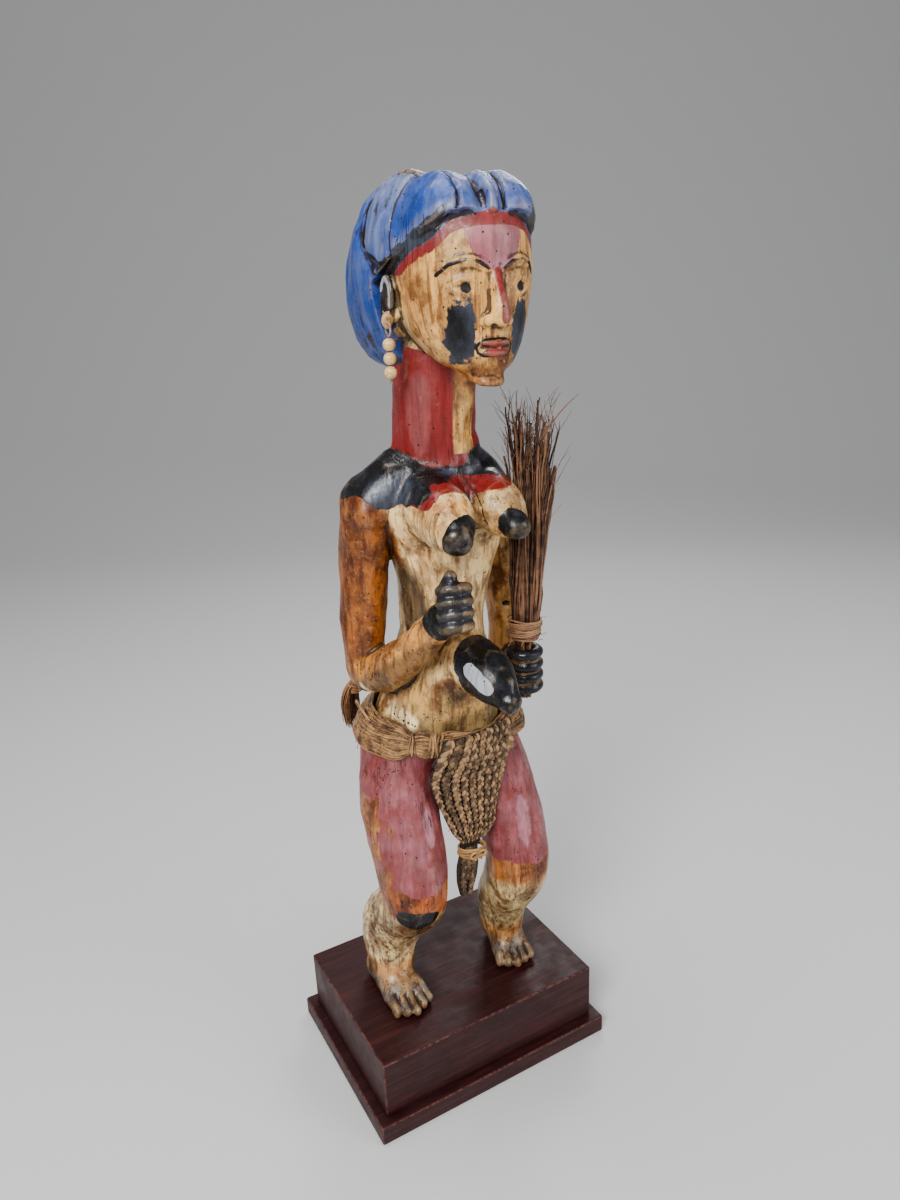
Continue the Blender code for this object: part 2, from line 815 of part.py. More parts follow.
def make_bundle(tree, collection, material):
    """The bundle of twigs: round in the fist, then spreading to a ragged top."""
    across = Vector((0.866, -0.5, 0))
    deep = Vector((0.5, 0.866, 0))
    grip = GRIP_RADIUS / UNIT
    stations = [
        (246, *FIST[:2], grip * 0.8, grip * 0.8),
        (252, *FIST[:2], grip, grip),
        (289, *FIST[:2], grip, grip),
        (297, 53.5, -43, 9.4, 8.0),
        (325, 55, -44, 11.5, 8.5),
        (360, 56.5, -46, 13.0, 9.0),
        (395, 57.5, -48, 15.5, 9.5),
        (425, 58, -49, 19.5, 11.0),
        (440, 58, -50, 22.0, 12.0),
        (452, 58, -50, 21.0, 10.0),
    ]
    sides = 20
    bm = bmesh.new()
    rings = []
    for level, (height, x, y, width, depth) in enumerate(stations):
        ring = []
        for k in range(sides):
            turn = 2 * math.pi * k / sides
            flute = 1.0 if k % 2 == 0 or level < 3 else 0.86
            ragged = 7.0 * math.sin(k * 2.4) * (level == len(stations) - 1)
            offset = across * math.cos(turn) * width + deep * math.sin(turn) * depth
            point = in_metres((x + offset.x * flute, y + offset.y * flute, height + ragged))
            if level > 2:
                point = pushed_out(point, tree, FIBRE_GAP)
            ring.append(bm.verts.new(point))
        rings.append(ring)
    bridge(bm, rings)
    top = in_metres((58, -50, 446))
    bm.faces.new(rings[0])
    tip = bm.verts.new(top)
    for i in range(sides):
        bm.faces.new((rings[-1][i], rings[-1][(i + 1) % sides], tip))
    bmesh.ops.recalc_face_normals(bm, faces=bm.faces)
    return mesh_object("twig_bundle", bm, collection, material)


def make_bundle_tie(collection, material):
    """The fibre band round the twigs, just above the fist."""
    points = []
    for turn in np.linspace(0, 2 * math.pi, 18, endpoint=False):
        offset = Vector((0.866, -0.5, 0)) * math.cos(turn) * 12.6
        offset += Vector((0.5, 0.866, 0)) * math.sin(turn) * 10.6
        points.append(in_metres((53.8 + offset.x, -43.3 + offset.y, 303)))
    return make_tube("bundle_tie", points, 1.5 * TIE_RADIUS, collection, material, closed=True)


def loop_points(at, last_turn, count):
    """Points round the earring's loop, whose top passes through the lobe, from its foot up."""
    back = Vector(head_vector((0, 1, 0))).normalized()
    centre = in_metres(at) - Vector((0, 0, LOOP_RADIUS))
    points = []
    for turn in np.linspace(0, last_turn, count, endpoint=False):
        offset = back * math.sin(turn) - Vector((0, 0, math.cos(turn)))
        points.append(centre + LOOP_RADIUS * offset)
    return points


def make_earring(at, collection, cord, bead):
    """A cord loop through the right lobe and the beads strung below it."""
    loop = loop_points(at, math.radians(300), 14)
    spacing = BEAD_DIAMETER + JOINT_GAP
    end = loop[0] - Vector((0, 0, BEADS * spacing + 0.0026))
    make_tube("earring_cord", [end, *loop], CORD_RADIUS, collection, cord)
    for i in range(BEADS):
        middle = loop[0] - Vector((0, 0, 0.0012 + spacing * (i + 0.5)))
        make_bead(f"earring_bead_{i + 1}", middle, collection, bead)


def make_bead(name, middle, collection, material):
    """A round bead with a bore along Z."""
    radius, bore = BEAD_DIAMETER / 2, BEAD_BORE / 2
    height = math.sqrt(radius**2 - bore**2)
    limit = math.asin(height / radius)
    profile = [
        (radius * math.cos(turn), radius * math.sin(turn)) for turn in np.linspace(limit, -limit, 6)
    ]
    bm = bmesh.new()
    rings = []
    for k in range(12):
        turn = 2 * math.pi * k / 12
        out = Vector((math.cos(turn), math.sin(turn), 0))
        rings.append([bm.verts.new(middle + out * r + Vector((0, 0, z))) for r, z in profile])
    bridge(bm, rings, closed=True)
    return mesh_object(name, bm, collection, material)


def make_box(name, size, bottom, edge, collection, material):
    """A block on the origin's axis, its edges eased."""
    bm = bmesh.new()
    matrix = Matrix.Translation((0, 0, bottom + size[2] / 2)) @ Matrix.Diagonal((*size, 1.0))
    bmesh.ops.create_cube(bm, size=1.0, matrix=matrix)
    obj = mesh_object(name, bm, collection, material)
    bevel = obj.modifiers.new("Edges", "BEVEL")
    bevel.width = edge
    bevel.segments = 2
    return obj


def main():
    clear_scene()
    parts = make_collection("punu_ancestor_statue")
    cutters = make_collection("cutters", hidden=True)
    wood = make_material("carved_wood", (0.55, 0.42, 0.30), 0.45)
    stained = make_material("stained_wood", (0.075, 0.022, 0.018), 0.40)
    fibre = make_material("plant_fibre", (0.28, 0.17, 0.08), 0.75)
    cord = make_material("fibre_cord", (0.42, 0.29, 0.14), 0.75)
    twigs = make_material("twigs", (0.09, 0.045, 0.028), 0.70)
    bead = make_material("bone_bead", (0.72, 0.56, 0.30), 0.40)

    plate_size = (BLOCK_WIDTH + 2 * PLATE_LEDGE, BLOCK_DEPTH + 2 * PLATE_LEDGE, PLATE_HEIGHT)
    make_box("base_plate", plate_size, 0.0, PLATE_EDGE, parts, stained)
    block_size = (BLOCK_WIDTH, BLOCK_DEPTH, BLOCK_HEIGHT - JOINT_GAP)
    make_box("base_block", block_size, PLATE_HEIGHT + JOINT_GAP, BLOCK_EDGE, parts, stained)

    figure = fused("figure", carve_figure, parts, wood, FIGURE_TRIANGLES)
    tree = tree_of(figure)
    cut(figure, grip_cutter(cutters, wood))
    lobe = in_head((-LOBE[0], LOBE[1], LOBE[2] - 0.5))
    ring = loop_points(lobe, 2 * math.pi, 20)
    cut(figure, make_tube("lobe_hole", ring, LOBE_HOLE_RADIUS, cutters, wood, closed=True))
    make_earring(lobe, parts, cord, bead)

    rows = belt_rows(tree)
    make_belt("fibre_belt", rows, parts, fibre)
    make_belt_tie(rows, parts, cord)
    make_tuft(rows, tree, parts, fibre)
    make_apron(tree, rows, parts, fibre)
    make_apron_tie(parts, cord)
    make_bundle(tree, parts, twigs)
    make_bundle_tie(parts, cord)


main()
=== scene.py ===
import math

import bmesh
import bpy
import numpy as np
from bpy.props import FloatProperty, FloatVectorProperty, IntProperty, PointerProperty
from bpy.types import Operator, Panel, PropertyGroup
from mathutils import Matrix, Vector, noise
from mathutils.bvhtree import BVHTree


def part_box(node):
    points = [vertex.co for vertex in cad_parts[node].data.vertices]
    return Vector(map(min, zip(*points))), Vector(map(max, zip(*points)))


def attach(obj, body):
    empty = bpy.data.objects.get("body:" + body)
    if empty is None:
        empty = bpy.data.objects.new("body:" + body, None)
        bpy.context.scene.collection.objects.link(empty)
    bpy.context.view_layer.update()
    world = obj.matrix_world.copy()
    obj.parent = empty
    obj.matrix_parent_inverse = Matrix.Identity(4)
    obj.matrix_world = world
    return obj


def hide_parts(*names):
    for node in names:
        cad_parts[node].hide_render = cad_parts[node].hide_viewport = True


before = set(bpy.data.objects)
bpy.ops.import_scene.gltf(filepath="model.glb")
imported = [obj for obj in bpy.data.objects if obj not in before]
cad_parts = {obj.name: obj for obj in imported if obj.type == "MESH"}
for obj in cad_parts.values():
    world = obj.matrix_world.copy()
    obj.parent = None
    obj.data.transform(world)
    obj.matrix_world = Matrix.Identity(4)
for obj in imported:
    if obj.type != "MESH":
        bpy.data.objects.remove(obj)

bl_info = {
    "name": "Carved ancestor figure",
    "version": (1, 0, 0),
    "blender": (4, 5, 0),
    "location": "3D View > Sidebar > Figure",
    "description": "A painted wooden figure with its fibre belt, apron, earring and twigs",
    "category": "Object",
}

# The carving is set out in carver's units, one to a millimetre at full size, above the soles
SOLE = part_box("figure")[0].z
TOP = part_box("figure")[1].z
UNIT = 0.001
HEAD_CENTRE = np.array((3.5, -45.0, 530.0))
HEAD_TURN = math.radians(-6.0)
HEAD_NOD = math.radians(2.0)
HAIRLINE = np.array((0.0, -56.0, 574.0))
HAIR_SLOPE = np.array((0.0, 0.47, 0.88))
LOBE_CENTRE = (31.0, 541.0)
LOBE_SIZE = (29.0, 74.0, 54.0)
LOBE_TILT = -24.0
CROWN_CENTRE = (16.0, -17.0, 567.0)
CROWN_SIZE = (23.0, 40.0, 29.0)
EAR = (43.0, -2.0, 527.0)
LOBE = (45.5, -5.0, 516.0)
FIST = (53.0, -42.0, 269.0)
FIST_SIZE = (22, 22, 21)
RIGHT_FIST = (-28, -84, 345)
RIGHT_FIST_SIZE = (18, 18, 25)
HIP_AXIS = (-4.0, -5.0)
TIE_ANGLE = math.radians(-118.0)
LACE_ANGLE = math.radians(-136.0)
TUFT_ANGLE = math.radians(138.0)
# A limb's domed end: how far on in shares of its thickness, and how wide it still is there
DOME = [(0.28, 0.96), (0.45, 0.90), (0.64, 0.78), (0.78, 0.62), (0.90, 0.42), (0.96, 0.24)]
# The coiffure's middle ridge: place, half width and half depth at each station
RIDGE = [
    (0, -54, 574, 2.8, 3.2), (0, -50, 583, 3.4, 4.2), (0, -36, 587.6, 4.2, 6), (0, -10, 586, 5, 7),
    (0, 20, 576, 6, 8), (0, 48, 554, 7, 9), (0, 62, 528, 7, 9),
]
BACK_HAIR = ((0, 26, 537), (30, 68, 51))
NECK_FACET = ((-21, -38, 459), (6.5, 12, 27))
# The drying check that runs down from the throat between the breasts
CRACK = [
    (3.6, -44, 431), (3.5, -47.5, 420.2), (8.5, -53.5, 409), (8, -63, 399), (10.3, -64.4, 386),
    (10, -56, 374),
]
# Holes bored in the breast tips and the left arm: place, and radius of the dark spot
TIP_HOLES = (
    ((-26.3, -101.5, 385.4), 1.6), ((29.0, -91.5, 382.2), 1.4), ((54.6, -18.2, 311.4), 2.4)
)
# Where the belt's inner side is measured, in shares of its half height
BELT_RISES = (-0.8, 0.0, 0.8)
LACE_CLEARANCE = 0.0011
BELT_STEPS = 80
BELT_SAMPLES = 96
# Fine sprays that branch off the tops of the twigs
SPRAYS = 210
# Heights between which the apron's plaits and its tails hang
PLAITS_END = 141.0
TAIL_HEIGHTS = (88.0, 137.0)
BEAD_BORE = 0.0012
LOOP_RADIUS = 0.0040


def paint(red, green, blue):
    """A colour, 0 to 255, as the linear values that a shader takes."""
    return tuple((c / 255) ** 2.2 for c in (red, green, blue))


def colour_property(name, description, default):
    return FloatVectorProperty(
        name=name, description=description, default=default, subtype="COLOR", size=3, min=0, max=1
    )


def length_property(name, description, default, least=0.0):
    return FloatProperty(
        name=name, description=description, default=default, min=least, unit="LENGTH"
    )


def count_property(name, description, default, least):
    return IntProperty(name=name, description=description, default=default, min=least)


class FigureSettings(PropertyGroup):
    grain: length_property(
        "Carving grain", "Size of the finest form that the knife leaves", 0.00115, 0.0008
    )
    triangles: count_property("Triangles", "Most triangles in the carving", 188000, 20000)
    facet_size: length_property("Facet size", "Width of one adze facet", 0.013)
    facet_depth: length_property("Facet depth", "Hollow of one adze facet", 0.00105)
    blue: colour_property("Blue", "Paint of the coiffure", paint(38, 73, 146))
    lilac: colour_property("Lilac", "The blue where it has worn pale", paint(112, 122, 156))
    red: colour_property("Red", "Paint of the neck and the forehead's edge", paint(134, 42, 38))
    mauve: colour_property("Mauve", "Paint of the thighs and the forehead", paint(140, 72, 70))
    pink: colour_property("Pink", "The mauve on its scraped facets", paint(176, 122, 130))
    black: colour_property("Black", "Paint of the shoulders and cones", paint(22, 20, 21))
    slate: colour_property("Slate", "The black where it has worn blue", paint(76, 80, 92))
    dirt: colour_property("Dirt", "Old soot in the hollows", paint(46, 30, 20))


class BaseSettings(PropertyGroup):
    stain: colour_property("Stain", "Dark stain of the base", paint(50, 23, 24))
    streak: colour_property("Streak", "Lighter grain of the base", paint(76, 38, 36))
    worn: colour_property("Worn edge", "Wood that shows at the edges", paint(132, 84, 74))


class FibreSettings(PropertyGroup):
    belt_strands: count_property("Belt strands", "Strands in the hank", 190, 10)
    apron_columns: count_property("Apron plaits", "Upright plaits in the apron", 9, 3)
    stitch: length_property("Stitch", "Height of one stitch of a plait", 0.0047)
    tuft_strands: count_property("Tuft strands", "Strands in the tuft", 260, 10)
    twigs: count_property("Twigs", "Twigs in the bundle", 150, 10)
    straw: colour_property("Straw", "Light raffia", paint(186, 144, 98))
    umber: colour_property("Umber", "Dark raffia", paint(78, 52, 35))


class EarringSettings(PropertyGroup):
    bead: length_property("Bead", "Diameter of a bead", 0.0078)
    bone: colour_property("Bone", "Pale yellow of the beads", paint(226, 194, 138))


class StageSettings(PropertyGroup):
    floor: colour_property("Floor", "Colour of the floor", (0.62, 0.61, 0.60))
    light: FloatProperty(
        name="Light", description="Strength of the key light", default=27.0, subtype="POWER"
    )


def settings(name):
    return getattr(bpy.context.scene, name)


# Building a node tree


def put(tree, kind, sockets=None, **values):
    """A new node with its settings, its sockets set or linked."""
    node = tree.nodes.new(kind)
    for key, value in values.items():
        setattr(node, key, value)
    for key, value in (sockets or {}).items():
        if isinstance(value, bpy.types.NodeSocket):
            tree.links.new(value, node.inputs[key])
        elif value is not None:
            node.inputs[key].default_value = value
    return node


def maths(tree, operation, first, second=None, clamp=False):
    sockets = {0: first} if second is None else {0: first, 1: second}
    return put(tree, "ShaderNodeMath", sockets, operation=operation, use_clamp=clamp).outputs[0]


def between(tree, value, low, high, to_low=0.0, to_high=1.0):
    sockets = {"Value": value, "From Min": low, "From Max": high}
    sockets.update({"To Min": to_low, "To Max": to_high})
    return put(tree, "ShaderNodeMapRange", sockets, interpolation_type="SMOOTHSTEP").outputs[0]


def blend(tree, share, first, second, mode="MIX"):
    node = put(tree, "ShaderNodeMix", {0: share, 6: first, 7: second}, data_type="RGBA")
    node.blend_type = mode
    return node.outputs[2]


def weighted(tree, *terms):
    """The sum of sockets, each times its factor."""
    parts = [maths(tree, "MULTIPLY", socket, factor) for socket, factor in terms]
    total = parts[0]
    for part in parts[1:]:
        total = maths(tree, "ADD", total, part)
    return total


def rgba(colour):
    return (*colour, 1.0)


def cloud(tree, place, scale, detail=4.0, rough=0.55, warp=0.0):
    sockets = {"Vector": place, "Scale": scale, "Detail": detail, "Roughness": rough}
    sockets["Distortion"] = warp
    return put(tree, "ShaderNodeTexNoise", sockets).outputs["Fac"]


def stretched(tree, place, scale):
    node = put(tree, "ShaderNodeMapping", {"Vector": place, "Scale": scale})
    return node.outputs[0]


def here(tree):
    return put(tree, "ShaderNodeTexCoord").outputs["Object"]


def held(tree, name, kind="Fac"):
    node = put(tree, "ShaderNodeAttribute", attribute_name=name)
    return node.outputs[kind]


def shader_group(name, inputs, outputs, build):
    """A group with named sockets, each a (name, kind, default), filled by build."""
    tree = bpy.data.node_groups.new(name, "ShaderNodeTree")
    for title, kind, default in inputs:
        socket = tree.interface.new_socket(title, in_out="INPUT", socket_type=kind)
        socket.default_value = default
    for title, kind in outputs:
        tree.interface.new_socket(title, in_out="OUTPUT", socket_type=kind)
    source = tree.nodes.new("NodeGroupInput").outputs
    found = build(tree, source)
    sink = tree.nodes.new("NodeGroupOutput")
    for title, socket in found.items():
        tree.links.new(socket, sink.inputs[title])
    return tree


def use(tree, group, sockets):
    node = tree.nodes.new("ShaderNodeGroup")
    node.node_tree = group
    for key, value in sockets.items():
        if isinstance(value, bpy.types.NodeSocket):
            tree.links.new(value, node.inputs[key])
        else:
            node.inputs[key].default_value = value
    return node.outputs


FLOAT, COLOUR, VECTOR = "NodeSocketFloat", "NodeSocketColor", "NodeSocketVector"


def paint_coat():
    """One coat of paint whose edge is a measured field, ragged and worn with noise."""

    def build(tree, source):
        place = here(tree)
        rough = cloud(tree, place, source["Scale"], 5.0, 0.6)
        chips = cloud(tree, place, 620.0, 3.0, 0.6)
        rough, chips = (maths(tree, "SUBTRACT", spots, 0.5) for spots in (rough, chips))
        shift = weighted(tree, (rough, source["Ragged"]), (chips, source["Chips"]))
        field = maths(tree, "ADD", source["Field"], shift)
        cover = between(tree, field, maths(tree, "MULTIPLY", source["Soft"], -1.0), source["Soft"])
        return {"Colour": blend(tree, cover, source["Under"], source["Paint"]), "Cover": cover}

    inputs = [
        ("Under", COLOUR, (1, 1, 1, 1)),
        ("Paint", COLOUR, (1, 1, 1, 1)),
        ("Field", FLOAT, 0.0),
        ("Soft", FLOAT, 0.6),
        ("Ragged", FLOAT, 3.0),
        ("Chips", FLOAT, 1.5),
        ("Scale", FLOAT, 120.0),
    ]
    return shader_group("paint_coat", inputs, [("Colour", COLOUR), ("Cover", FLOAT)], build)


def worm_holes():
    """Round holes that insects have bored, as a mask."""

    def build(tree, source):
        sockets = {"Vector": here(tree), "Scale": source["Scale"]}
        distance = put(tree, "ShaderNodeTexVoronoi", sockets).outputs["Distance"]
        floor = maths(tree, "MULTIPLY", source["Radius"], 0.6)
        return {"Mask": between(tree, distance, source["Radius"], floor)}

    inputs = [("Scale", FLOAT, 150.0), ("Radius", FLOAT, 0.1)]
    return shader_group("worm_holes", inputs, [("Mask", FLOAT)], build)


def grain_streaks():
    """Long streaks of grain, and the thin checks that open along them."""

    def build(tree, source):
        place = put(
            tree, "ShaderNodeVectorMath", {0: here(tree), 1: source["Run"]}, operation="MULTIPLY"
        ).outputs[0]
        streak = cloud(tree, place, 1.0, 6.0, 0.62, 0.4)
        line = cloud(tree, place, 0.55, 2.0, 0.5, 0.3)
        ridge = maths(tree, "ABSOLUTE", maths(tree, "SUBTRACT", line, 0.5))
        thin = between(tree, ridge, source["Width"], 0.0)
        gate = between(tree, cloud(tree, here(tree), 22.0, 2.0), 0.53, 0.6)
        return {"Streak": streak, "Check": maths(tree, "MULTIPLY", thin, gate)}

    inputs = [("Run", VECTOR, (260.0, 260.0, 26.0)), ("Width", FLOAT, 0.006)]
    return shader_group("grain_streaks", inputs, [("Streak", FLOAT), ("Check", FLOAT)], build)


def new_material(name):
    material = bpy.data.materials.new(name)
    material.use_nodes = True
    tree = material.node_tree
    return material, tree, tree.nodes["Principled BSDF"]


def finished(tree, shader, colour, dull, height, depth):
    """Links a material's colour, roughness and bump."""
    sockets = {"Height": height, "Distance": depth, "Strength": 1.0}
    bump = put(tree, "ShaderNodeBump", sockets).outputs[0]
    for name, socket in (("Base Color", colour), ("Roughness", dull), ("Normal", bump)):
        tree.links.new(socket, shader.inputs[name])


def painted_wood(figure, groups):
    """The carving's finish: bare wood, then each coat of paint and a pale coat of painted
    highlight, then soot, ridges lightened partly by wear and partly as painted highlight, holes and
    checks.
    """
    material, tree, shader = new_material("painted_wood")
    place = here(tree)
    fade = held(tree, "fade")
    grain = use(tree, groups["grain"], {"Run": (240.0, 240.0, 20.0), "Width": 0.007})
    holes = use(tree, groups["holes"], {"Scale": 165.0, "Radius": 0.105})["Mask"]
    blotch = cloud(tree, place, 46.0, 5.0, 0.62)
    fine = cloud(tree, place, 420.0, 4.0, 0.65)
    ground = held(tree, "ground", "Color")
    dark = blend(tree, 1.0, ground, rgba(paint(128, 78, 42)), "MULTIPLY")
    pale = blend(tree, 0.45, ground, rgba(paint(240, 224, 190)))
    flakes = cloud(tree, stretched(tree, place, (70.0, 70.0, 46.0)), 1.0, 5.0, 0.62)
    lifted = blend(tree, 1.0, ground, rgba((1.55, 1.55, 1.48)), "MULTIPLY")
    ground = blend(tree, between(tree, flakes, 0.51, 0.53, 0.0, 0.85), ground, lifted)
    under = blend(tree, 1.0, ground, rgba((0.50, 0.41, 0.32)), "MULTIPLY")
    ground = blend(tree, between(tree, flakes, 0.44, 0.41, 0.0, 0.75), ground, under)
    ground = blend(tree, between(tree, grain["Streak"], 0.46, 0.66, 0.0, 0.75), ground, dark)
    ground = blend(tree, between(tree, blotch, 0.5, 0.68, 0.0, 0.85), ground, dark)
    ground = blend(tree, between(tree, fine, 0.54, 0.74, 0.0, 0.42), ground, pale)
    mottle = between(tree, cloud(tree, place, 75.0, 4.0, 0.6), 0.3, 0.7, -0.22, 0.22)
    worn = maths(tree, "ADD", fade, mottle, clamp=True)
    streaky = between(tree, grain["Streak"], 0.3, 0.7, 0.68, 1.18)
    streaks = put(tree, "ShaderNodeCombineColor", dict.fromkeys(range(3), streaky)).outputs[0]
    result, covers = ground, {}
    # Each coat's name, tint, tint where worn, how ragged and chipped it is, and at what scale
    coats = [
        ("mauve", figure.mauve, figure.pink, 3.4, 2.0, 120.0),
        ("red", figure.red, figure.mauve, 1.6, 1.2, 150.0),
        ("blue", figure.blue, figure.lilac, 2.6, 1.8, 130.0),
        ("black", figure.black, figure.slate, 1.8, 1.2, 140.0),
        # This pale grey coat is painted highlight, on the navel's cone and the ears' rims.
        ("painted_highlight", paint(176, 178, 184), paint(150, 152, 160), 0.8, 0.6, 200.0),
        ("lines", paint(26, 20, 18), paint(26, 20, 18), 0.35, 0.2, 260.0),
    ]
    for name, colour, faded, ragged, chips, scale in coats:
        tint = blend(tree, worn, rgba(colour), rgba(faded))
        tint = blend(tree, 1.0, tint, streaks, "MULTIPLY")
        sockets = {"Under": result, "Paint": tint, "Field": held(tree, name), "Ragged": ragged}
        sockets.update({"Chips": chips, "Scale": scale, "Soft": 0.28 if name != "lines" else 0.2})
        coat = use(tree, groups["coat"], sockets)
        result, covers[name] = coat["Colour"], coat["Cover"]
    hollow = held(tree, "hollow")
    soot_and_shade = maths(tree, "ADD", hollow, between(tree, fine, 0.3, 0.7, -0.12, 0.12))
    result = blend(tree, between(tree, soot_and_shade, 0.12, 0.55, 0.0, 0.88), result, rgba(figure.dirt))
    # Ridges, where the value falls below zero, are lightened: partly wear, partly painted
    # highlight.
    rub = between(tree, soot_and_shade, -0.5, -1.0, 0.0, 0.16)
    result = blend(tree, rub, result, rgba(paint(214, 184, 142)))
    result = blend(tree, maths(tree, "MULTIPLY", grain["Check"], 0.85), result, rgba(figure.dirt))
    result = blend(tree, holes, result, rgba((0.006, 0.004, 0.003)))
    dull = between(tree, fine, 0.3, 0.7, 0.24, 0.44)
    dull = maths(tree, "ADD", dull, between(tree, blotch, 0.4, 0.7, 0.0, 0.16))
    dull = maths(tree, "SUBTRACT", dull, maths(tree, "MULTIPLY", covers["black"], 0.08))
    shader.inputs["Specular IOR Level"].default_value = 0.55
    raised = [(covers[name], 0.25) for name in ("red", "blue", "black")]
    sunk = [(holes, -2.2), (grain["Check"], -1.4)]
    height = weighted(tree, (fine, 0.10), (grain["Streak"], 0.55), *raised, *sunk)
    finished(tree, shader, result, dull, height, 0.00045)
    return material


def stained_wood(name, base, groups, half_width, half_depth, top):
    """The base's dark stain, with grain along its length and pale worn edges."""
    material, tree, shader = new_material(name)
    place = here(tree)
    grain = use(tree, groups["grain"], {"Run": (16.0, 420.0, 420.0), "Width": 0.012})
    pores = cloud(tree, stretched(tree, place, (60.0, 1500.0, 1500.0)), 1.0, 2.0)
    blotch = cloud(tree, place, 24.0, 4.0)
    colour = blend(
        tree, between(tree, grain["Streak"], 0.40, 0.72), rgba(base.stain), rgba(base.streak)
    )
    # Each tint's mask, the span that it comes in over, its strength and its colour
    tints = [
        (pores, (0.58, 0.68), 0.5, (36, 16, 16)),
        (pores, (0.36, 0.28), 0.35, (104, 60, 54)),
        (blotch, (0.45, 0.7), 0.4, (50, 22, 24)),
    ]
    for spots, span, most, tint in tints:
        colour = blend(tree, between(tree, spots, *span, 0.0, most), colour, rgba(paint(*tint)))
    axes = put(tree, "ShaderNodeSeparateXYZ", {0: place}).outputs
    sides = []
    for axis, half in ((0, half_width), (1, half_depth)):
        far = maths(tree, "ABSOLUTE", axes[axis])
        sides.append(between(tree, far, half - 0.0016, half - 0.0004))
    high = between(tree, axes[2], top - 0.0016, top - 0.0004)
    both = maths(tree, "MULTIPLY", sides[0], sides[1])
    edge = maths(
        tree, "MAXIMUM", maths(tree, "MULTIPLY", high, maths(tree, "MAXIMUM", *sides)), both
    )
    ragged = between(tree, cloud(tree, place, 260.0, 4.0, 0.7), 0.38, 0.62)
    worn = maths(tree, "MULTIPLY", maths(tree, "MULTIPLY", edge, ragged), 0.6)
    colour = blend(tree, worn, colour, rgba(base.worn))
    dull = between(tree, cloud(tree, place, 60.0, 5.0), 0.3, 0.7, 0.40, 0.56)
    height = maths(tree, "ADD", maths(tree, "MULTIPLY", pores, 0.5), grain["Streak"])
    finished(tree, shader, colour, dull, height, 0.00018)
    return material


def fibre(name, dark, light, sheen=0.0):
    """Raffia, cord or bark: each strand has its own tone, with fine lines along it, and painted
    shade on strands that lie deep in their bundle.
    """
    material, tree, shader = new_material(name)
    place = here(tree)
    tone = held(tree, "tone")
    fine = cloud(tree, place, 900.0, 4.0, 0.7)
    patch = cloud(tree, place, 130.0, 3.0)
    share = maths(tree, "ADD", tone, between(tree, patch, 0.3, 0.7, -0.3, 0.3))
    share = maths(tree, "ADD", share, between(tree, fine, 0.3, 0.7, -0.22, 0.22), clamp=True)
    colour = blend(tree, share, rgba(dark), rgba(light))
    # Painted shade: strands with a high 'deep' value, inside a bundle or behind the apron, are
    # darkened.
    soot_and_shade = between(tree, held(tree, "deep"), 0.25, 0.9, 0.0, 0.9)
    colour = blend(tree, soot_and_shade, colour, rgba(paint(24, 16, 12)))
    shader.inputs["Sheen Weight"].default_value = sheen
    dull = between(tree, fine, 0.3, 0.7, 0.42, 0.68)
    finished(tree, shader, colour, dull, fine, 0.00025)
    return material


def bone(name, colour):
    """Pale beads with faint rings and spots."""
    material, tree, shader = new_material(name)
    place = here(tree)
    rings = cloud(tree, stretched(tree, place, (300.0, 300.0, 1400.0)), 1.0, 3.0)
    spots = cloud(tree, place, 700.0, 3.0)
    result = blend(
        tree, between(tree, rings, 0.4, 0.7, 0.0, 0.5), rgba(colour), rgba(paint(176, 128, 70))
    )
    result = blend(
        tree, between(tree, spots, 0.56, 0.7, 0.0, 0.6), result, rgba(paint(120, 82, 46))
    )
    finished(tree, shader, result, between(tree, spots, 0.3, 0.7, 0.26, 0.42), rings, 0.0001)
    return material


# Carving tools: closed forms that overlap, fused into one block


def smooth_run(stations, steps):
    """A Catmull-Rom run through rows of numbers, with steps rows to each span."""
    rows = np.array(stations, float)
    padded = np.vstack([2 * rows[0] - rows[1], rows, 2 * rows[-1] - rows[-2]])
    run = []
    for i in range(1, len(padded) - 2):
        a, b, c, d = padded[i - 1 : i + 3]
        for t in np.linspace(0, 1, steps, endpoint=False):
            bend = (2 * a - 5 * b + 4 * c - d) * t**2 + (3 * b - a - 3 * c + d) * t**3
            run.append(0.5 * (2 * b + (c - a) * t + bend))
    run.append(rows[-1])
    return np.array(run)


def in_metres(point):
    """Carver's units above the soles to metres above the base's underside."""
    return Vector((point[0] * UNIT, point[1] * UNIT, point[2] * UNIT + SOLE))


def height_of(point):
    """A point in metres to its height above the soles in carver's units."""
    return (point.z - SOLE) / UNIT


def head_axes():
    nod = np.array(Matrix.Rotation(HEAD_NOD, 3, "X"))
    return np.array(Matrix.Rotation(HEAD_TURN, 3, "Z")) @ nod


def in_head(point):
    """A point in the head's own frame to the figure's."""
    offset = np.array(point[:3], float) - (0, 0, HEAD_CENTRE[2])
    return tuple(HEAD_CENTRE + head_axes() @ offset)


def head_vector(vector):
    return tuple(head_axes() @ np.array(vector, float))


def head_run(stations):
    return [(*in_head(row[:3]), *row[3:]) for row in stations]


def head_tilt(x=0.0, z=0.0):
    return (x + math.degrees(HEAD_NOD), 0.0, z + math.degrees(HEAD_TURN))


def bridged(bm, loops, following):
    """Walls from each loop of vertices to the one that follows it."""
    for low, high in zip(loops, following):
        for i in range(len(low)):
            j = (i + 1) % len(low)
            bm.faces.new((low[i], low[j], high[j], high[i]))


def skin(bm, rings):
    """Walls through rings of points, closed at both ends."""
    loops = [[bm.verts.new(p) for p in ring] for ring in rings]
    bridged(bm, loops, loops[1:])
    bm.faces.new(loops[0][::-1])
    bm.faces.new(loops[-1])


